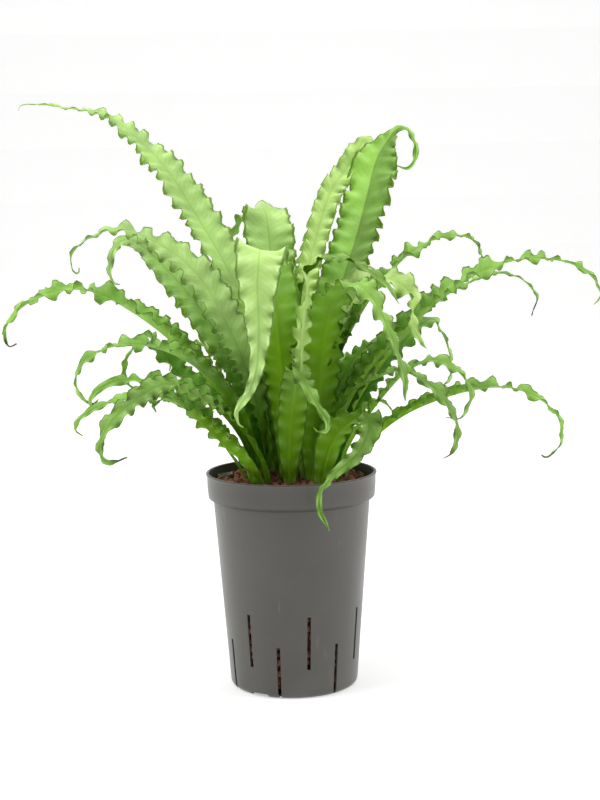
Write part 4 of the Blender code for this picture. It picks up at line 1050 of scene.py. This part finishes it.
    # Painted shade: a dark line along each edge of the blade.
    rim = maths(tree, "MULTIPLY", ranged(tree, outward, 0.85, 0.95), 0.9)
    face = mixed(tree, rim, face, given["Edge"])
    dead = maths(tree, "MULTIPLY", ranged(tree, maths(tree, "MULTIPLY_ADD", mottle, 0.03, share), 0.955, 0.99), browned)
    face = mixed(tree, dead, face, colour(0.035, 0.018, 0.008))
    tree.links.new(face, out.inputs["Colour"])

    rough = ranged(tree, mottle, 0.3, 0.7, 0.34, 0.46)
    rough = maths(tree, "MULTIPLY_ADD", under, 0.12, rough)
    rough = maths(tree, "ADD", rough, ranged(tree, past_foot, 1.0, 0.0, 0.0, 0.3))
    tree.links.new(maths(tree, "MULTIPLY_ADD", dead, 0.3, rough), out.inputs["Roughness"])
    pores = node(tree, "ShaderNodeTexNoise", {0: place, "Scale": 900.0, "Detail": 2.0}).outputs[0]
    relief = maths(tree, "MULTIPLY_ADD", pores, 0.4, veins)
    inputs = {"Strength": given["Veins"], "Distance": 0.0005, "Height": relief}
    tree.links.new(node(tree, "ShaderNodeBump", inputs).outputs[0], out.inputs["Normal"])
    return tree


# Each tint is a face colour; a foot colour, the darker green painted as shade over the foot of each frond and on its
# underside; an edge colour, painted as a line of shade along each edge and also used to darken the groove on the upper
# face; and a rib colour. The deep tint is the green of the low, inner fronds, partly painted shade.
LEAVES = {
    "light": ((0.41, 0.63, 0.185), (0.125, 0.27, 0.002), (0.06, 0.17, 0.01), (0.32, 0.52, 0.12)),
    "mid": ((0.24, 0.44, 0.07), (0.105, 0.235, 0.002), (0.04, 0.12, 0.006), (0.24, 0.43, 0.06)),
    "deep": ((0.13, 0.28, 0.004), (0.075, 0.175, 0.001), (0.03, 0.10, 0.002), (0.14, 0.30, 0.01)),
    "young": ((0.49, 0.72, 0.20), (0.28, 0.50, 0.05), (0.16, 0.34, 0.04), (0.56, 0.74, 0.30)),
}


def leaf(tint, surface):
    """A living frond's finish: waxy, a little see-through, in one tint."""
    face, foot, edge, rib = (colour(*value) for value in LEAVES[tint])
    material, tree, shader = new_material("leaf_" + tint, {
        "Specular IOR Level": 0.2,
        "Subsurface Weight": 0.3,
        "Subsurface Radius": (0.7, 1.0, 0.25),
        "Subsurface Scale": 2 * MM,
    })
    group = node(tree, "ShaderNodeGroup", node_tree=surface)
    for label, value in {"Face": face, "Foot": foot, "Edge": edge, "Rib": rib, "Veins": 0.35}.items():
        group.inputs[label].default_value = value
    tree.links.new(group.outputs["Colour"], shader.inputs["Base Color"])
    tree.links.new(group.outputs["Roughness"], shader.inputs["Roughness"])
    tree.links.new(group.outputs["Normal"], shader.inputs["Normal"])
    return material


surface = leaf_surface()
leaves = {tint: leaf(tint, surface) for tint in LEAVES}
blades = blade_tree()
for number, frond in enumerate(FRONDS):
    draw = random.Random(number + 1)
    piece, rows = guide(frond, draw)
    shape_with(
        piece, blades,
        **{
            "Rows": rows,
            "Columns": COLUMNS,
            "Frill slant": 1.3,
            "Frill fold": 0.2,
            "Frill depth": FRILL_DEPTH,
            "Lobes": 0.12,
            "Edge curl": 0.22,
            "Billow": BILLOW,
            "Seed": number * 1.7,
            "Thickness": BLADE_THICKNESS,
            "Rib half width": RIB_HALF_WIDTH,
            "Groove": GROOVE_DEPTH,
            "Keel": KEEL_HEIGHT,
            # Tone: lightness, partly the frond's own and partly painted light and shade; how brown its tip is; and
            # where its painted-shade foot ends.
            "Tone": (frond.light + draw.uniform(-0.07, 0.07), BROWN_TIPS.get(frond.name, 0.0), frond.dark),
            "Material": leaves[frond.tint],
        })
    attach(piece, "root")
    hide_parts("frond_" + frond.name)

# The studio: a pale floor that sweeps up behind the plant, soft light from two large panels and the
# room, and the camera where the photographer's was.

CAMERA_PLACE = Vector((0, -1378.9, 423.8)) * MM
CAMERA_AIM = Vector((8.604, 0, 252.5)) * MM
CAMERA_ROLL = -0.0148
CAMERA_LENS = 71.4


def sweep():
    """The floor and the wall behind it, as one curved sheet."""
    shape = bmesh.new()
    outline = [(-4, 0), (2, 0)]
    outline += [(2 + 1.5 * math.sin(a), 1.5 - 1.5 * math.cos(a)) for a in (math.pi / 24 * s for s in range(1, 13))]
    outline += [(3.5, 4)]
    rows = [[shape.verts.new((x, y, z)) for x in (-5, 5)] for y, z in outline]
    for low, high in zip(rows, rows[1:]):
        shape.faces.new((low[0], low[1], high[1], high[0]))
    return new_object("floor", shape)


def studio_paper():
    material, tree, shader = new_material("studio_paper", {
        "Roughness": 0.9,
        "Specular IOR Level": 0.1,
        "Emission Color": (1, 1, 1, 1),
        "Emission Strength": 0.42,
    })
    place = node(tree, "ShaderNodeTexCoord").outputs["Object"]
    fleck = node(tree, "ShaderNodeTexNoise", {0: place, "Scale": 3.0, "Detail": 2.0}).outputs[0]
    tone = mixed(tree, fleck, colour(0.86, 0.86, 0.855), colour(0.88, 0.88, 0.875))
    tree.links.new(tone, shader.inputs["Base Color"])
    return material


def panel(name, place, aim, size, watts):
    """A large soft light."""
    light = bpy.data.lights.new(name, "AREA")
    light.shape = "RECTANGLE"
    light.size, light.size_y = size
    light.energy = watts
    made = bpy.data.objects.new(name, light)
    made.location = place
    made.rotation_euler = (Vector(aim) - Vector(place)).to_track_quat("-Z", "Y").to_euler()
    bpy.context.scene.collection.objects.link(made)


floor = sweep()
floor.data.materials.append(studio_paper())
panel("left", (-1.5, -0.5, 1.5), (0, 0, 0.3), (1.2, 1.4), 22)
panel("right", (1.6, -0.3, 1.2), (0, 0, 0.25), (1.0, 1.4), 15)
panel("top", (0.1, 0.2, 2.1), (0, 0, 0.3), (1.3, 1.3), 14)

world = bpy.data.worlds.new("room")
bpy.context.scene.world = world
world.use_nodes = True
world.node_tree.nodes["Background"].inputs["Color"].default_value = (1, 1, 1, 1)
world.node_tree.nodes["Background"].inputs["Strength"].default_value = 0.34
bpy.context.scene.view_settings.view_transform = "Standard"

forward = (CAMERA_AIM - CAMERA_PLACE).normalized()
level = forward.cross(Vector((0, 0, 1))).normalized()
upright = level.cross(forward)
right = level * math.cos(CAMERA_ROLL) + upright * math.sin(CAMERA_ROLL)
above = upright * math.cos(CAMERA_ROLL) - level * math.sin(CAMERA_ROLL)
lens = bpy.data.cameras.new("camera")
lens.lens = CAMERA_LENS
lens.clip_start = 0.05
camera = bpy.data.objects.new("camera", lens)
camera.matrix_world = Matrix.Translation(CAMERA_PLACE) @ Matrix((right, above, -forward)).transposed().to_4x4()
bpy.context.scene.collection.objects.link(camera)
bpy.context.scene.camera = camera
